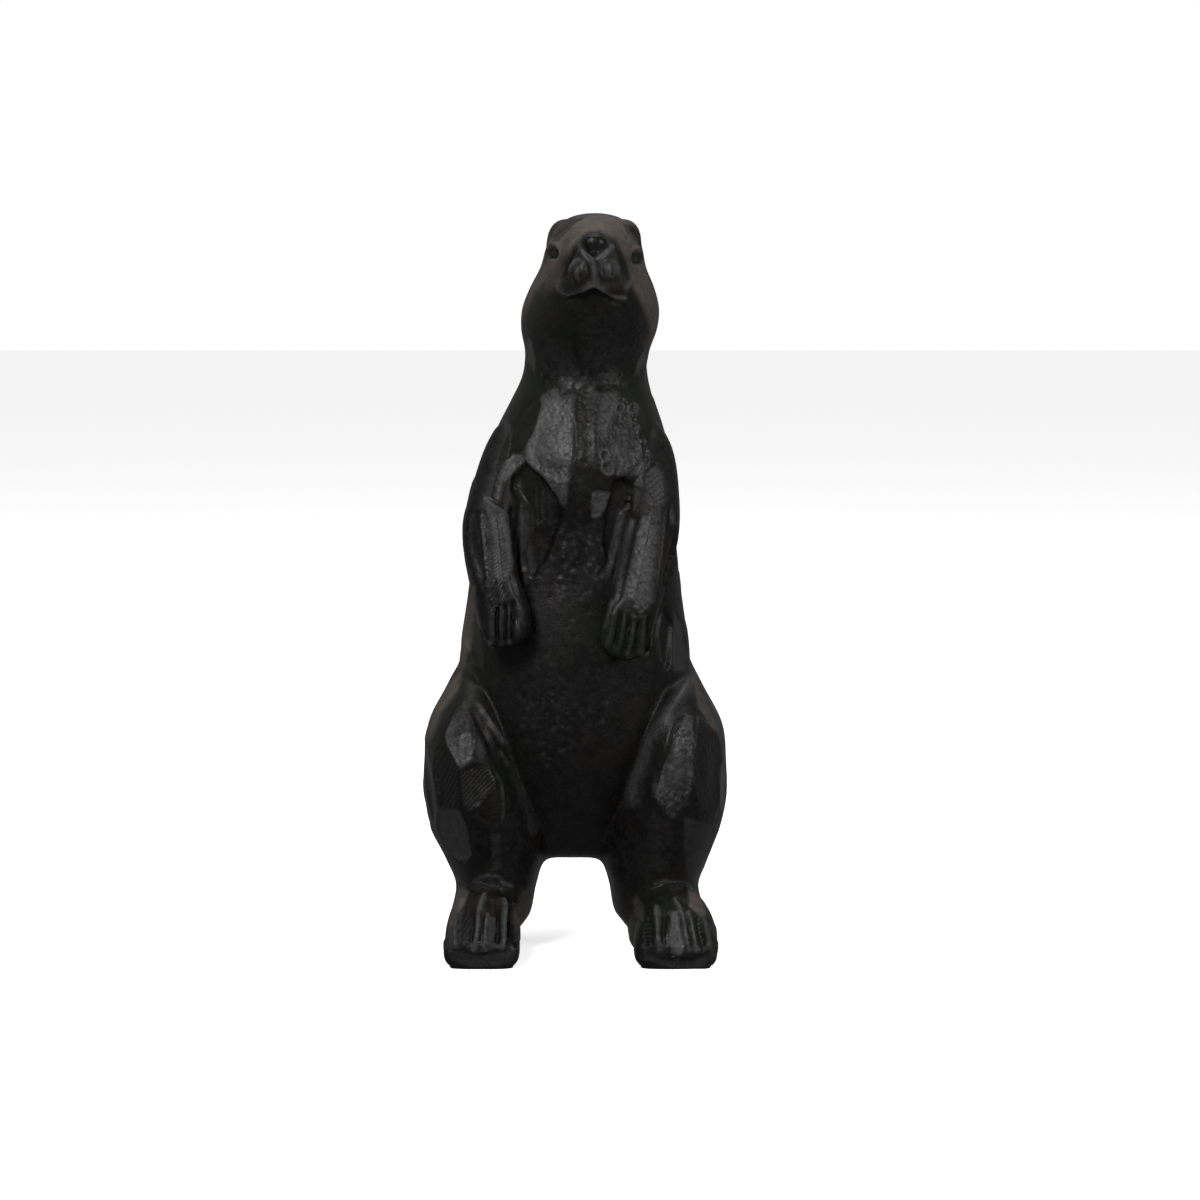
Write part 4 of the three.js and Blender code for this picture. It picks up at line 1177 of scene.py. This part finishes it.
# the stone
class Value:
    def __init__(self, tree, socket):
        self.tree = tree
        self.socket = socket

    def maths(self, operation, first, second):
        node = self.tree.nodes.new("ShaderNodeMath")
        node.operation = operation
        for socket, term in zip(node.inputs, (first, second)):
            if isinstance(term, Value):
                self.tree.links.new(term.socket, socket)
            else:
                socket.default_value = term
        return Value(self.tree, node.outputs[0])

    def __add__(self, other):
        return self.maths("ADD", self, other)

    def __radd__(self, other):
        return self.maths("ADD", other, self)

    def __sub__(self, other):
        return self.maths("SUBTRACT", self, other)

    def __rsub__(self, other):
        return self.maths("SUBTRACT", other, self)

    def __mul__(self, other):
        return self.maths("MULTIPLY", self, other)

    def __rmul__(self, other):
        return self.maths("MULTIPLY", other, self)


class Shader:
    def __init__(self, name):
        self.material = bpy.data.materials.new(name)
        self.material.use_nodes = True
        self.tree = self.material.node_tree
        self.surface = self.tree.nodes["Principled BSDF"]

    def fill(self, socket, value):
        if isinstance(value, Value):
            self.tree.links.new(value.socket, socket)
        else:
            socket.default_value = value

    def node(self, kind, settings, sockets, out=0):
        made = self.tree.nodes.new("ShaderNode" + kind)
        for name, value in settings.items():
            setattr(made, name, value)
        for name, value in sockets.items():
            self.fill(made.inputs[name], value)
        return Value(self.tree, made.outputs[out])

    def painted(self, name):
        return self.node("Attribute", {"attribute_name": name}, {}, "Fac")

    def place(self):
        return self.node("TexCoord", {}, {}, "Object")

    def noise(self, scale, detail=3, rough=0.5):
        return self.node("TexNoise", {}, {"Vector": self.place(), "Scale": scale, "Detail": detail,
                                          "Roughness": rough}, "Fac")

    def keep(self, value):  # held between 0 and 1
        return self.node("Clamp", {}, {"Value": value})

    def mix(self, share, first, second):
        return self.node("Mix", {"data_type": "RGBA"}, {0: share, 6: first, 7: second}, 2)


# the grey colour is where painted highlights and lit facets go; the dust colour is the warm tan of painted warm light
# on tops and rims, and of brown chips
stoneLook = {
    "black": (0.0034, 0.0032, 0.0031, 1),
    "grey": (0.05, 0.05, 0.051, 1),
    "green": (0.008, 0.011, 0.006, 1),
    "brown": (0.014, 0.0075, 0.0062, 1),
    "dust": (0.088, 0.071, 0.059, 1),
    "specular": 0.15,
    "bump": 0.6,
}


def makeStone():
    shader = Shader("blackStone")
    grey, gloss, dust = (shader.painted(name) for name in ("grey", "gloss", "dust"))
    pits, marks, markPlace = (shader.painted(name) for name in ("pits", "marks", "markPlace"))
    broad = shader.noise(38, 4, 0.6)
    grain = shader.noise(420, 4, 0.65)
    fine = shader.noise(1500, 3, 0.6)
    wave = shader.node("Math", {"operation": "SINE"}, {0: markPlace * 2 * math.pi})
    patches = shader.noise(130, 5, 0.7) - 0.5
    speckle = (grain - 0.5) * 1.8 + (fine - 0.5) * 1.4
    uneven = patches * 0.25 + speckle * 0.11
    # painted light: the grey level, painted highlights and shade included, sets how far the colour goes from black
    # towards grey
    level = shader.keep(grey * (1 + speckle + patches * 0.8) + uneven + wave * marks * 0.3 * (grey + 0.1))
    colour = shader.mix(level, stoneLook["black"], stoneLook["grey"])
    dark = shader.keep(1 - grey * 2)
    greenish = shader.keep((shader.noise(30, 3, 0.5) - 0.52) * 9) * 0.5 * dark
    colour = shader.mix(greenish, colour, stoneLook["green"])
    brownish = shader.keep((shader.noise(47, 4, 0.6) - 0.56) * 10) * 0.5 * dark
    colour = shader.mix(brownish, colour, stoneLook["brown"])
    # painted warm light: the dust level mixes the warm tan into top-lit surfaces and edge rims, and into brown chips
    dustAndWarmLightShare = shader.keep(dust * (0.85 + speckle * 0.7 + patches * 1.5 + (broad - 0.5) * 2.2))
    colour = shader.mix(dustAndWarmLightShare, colour, stoneLook["dust"])
    rough = shader.keep(0.5 - gloss * 0.2 + dust * 0.3 + speckle * 0.25 + (broad - 0.5) * 0.3)
    dimples = shader.node("TexVoronoi", {}, {"Vector": shader.place(), "Scale": 620}, "Distance")
    height = grain * 0.35 + fine * 0.2 + dimples * pits * 0.8 + wave * marks * 0.5
    bump = shader.node("Bump", {}, {"Strength": stoneLook["bump"], "Distance": 0.0005, "Height": height}, "Normal")
    shader.fill(shader.surface.inputs["Base Color"], colour)
    shader.fill(shader.surface.inputs["Roughness"], rough)
    shader.fill(shader.surface.inputs["Normal"], bump)
    shader.fill(shader.surface.inputs["Specular IOR Level"], stoneLook["specular"])
    return shader.material


piece.data.materials.append(makeStone())
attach(piece, "root")
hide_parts("rabbit_figurine")
print("stone given")
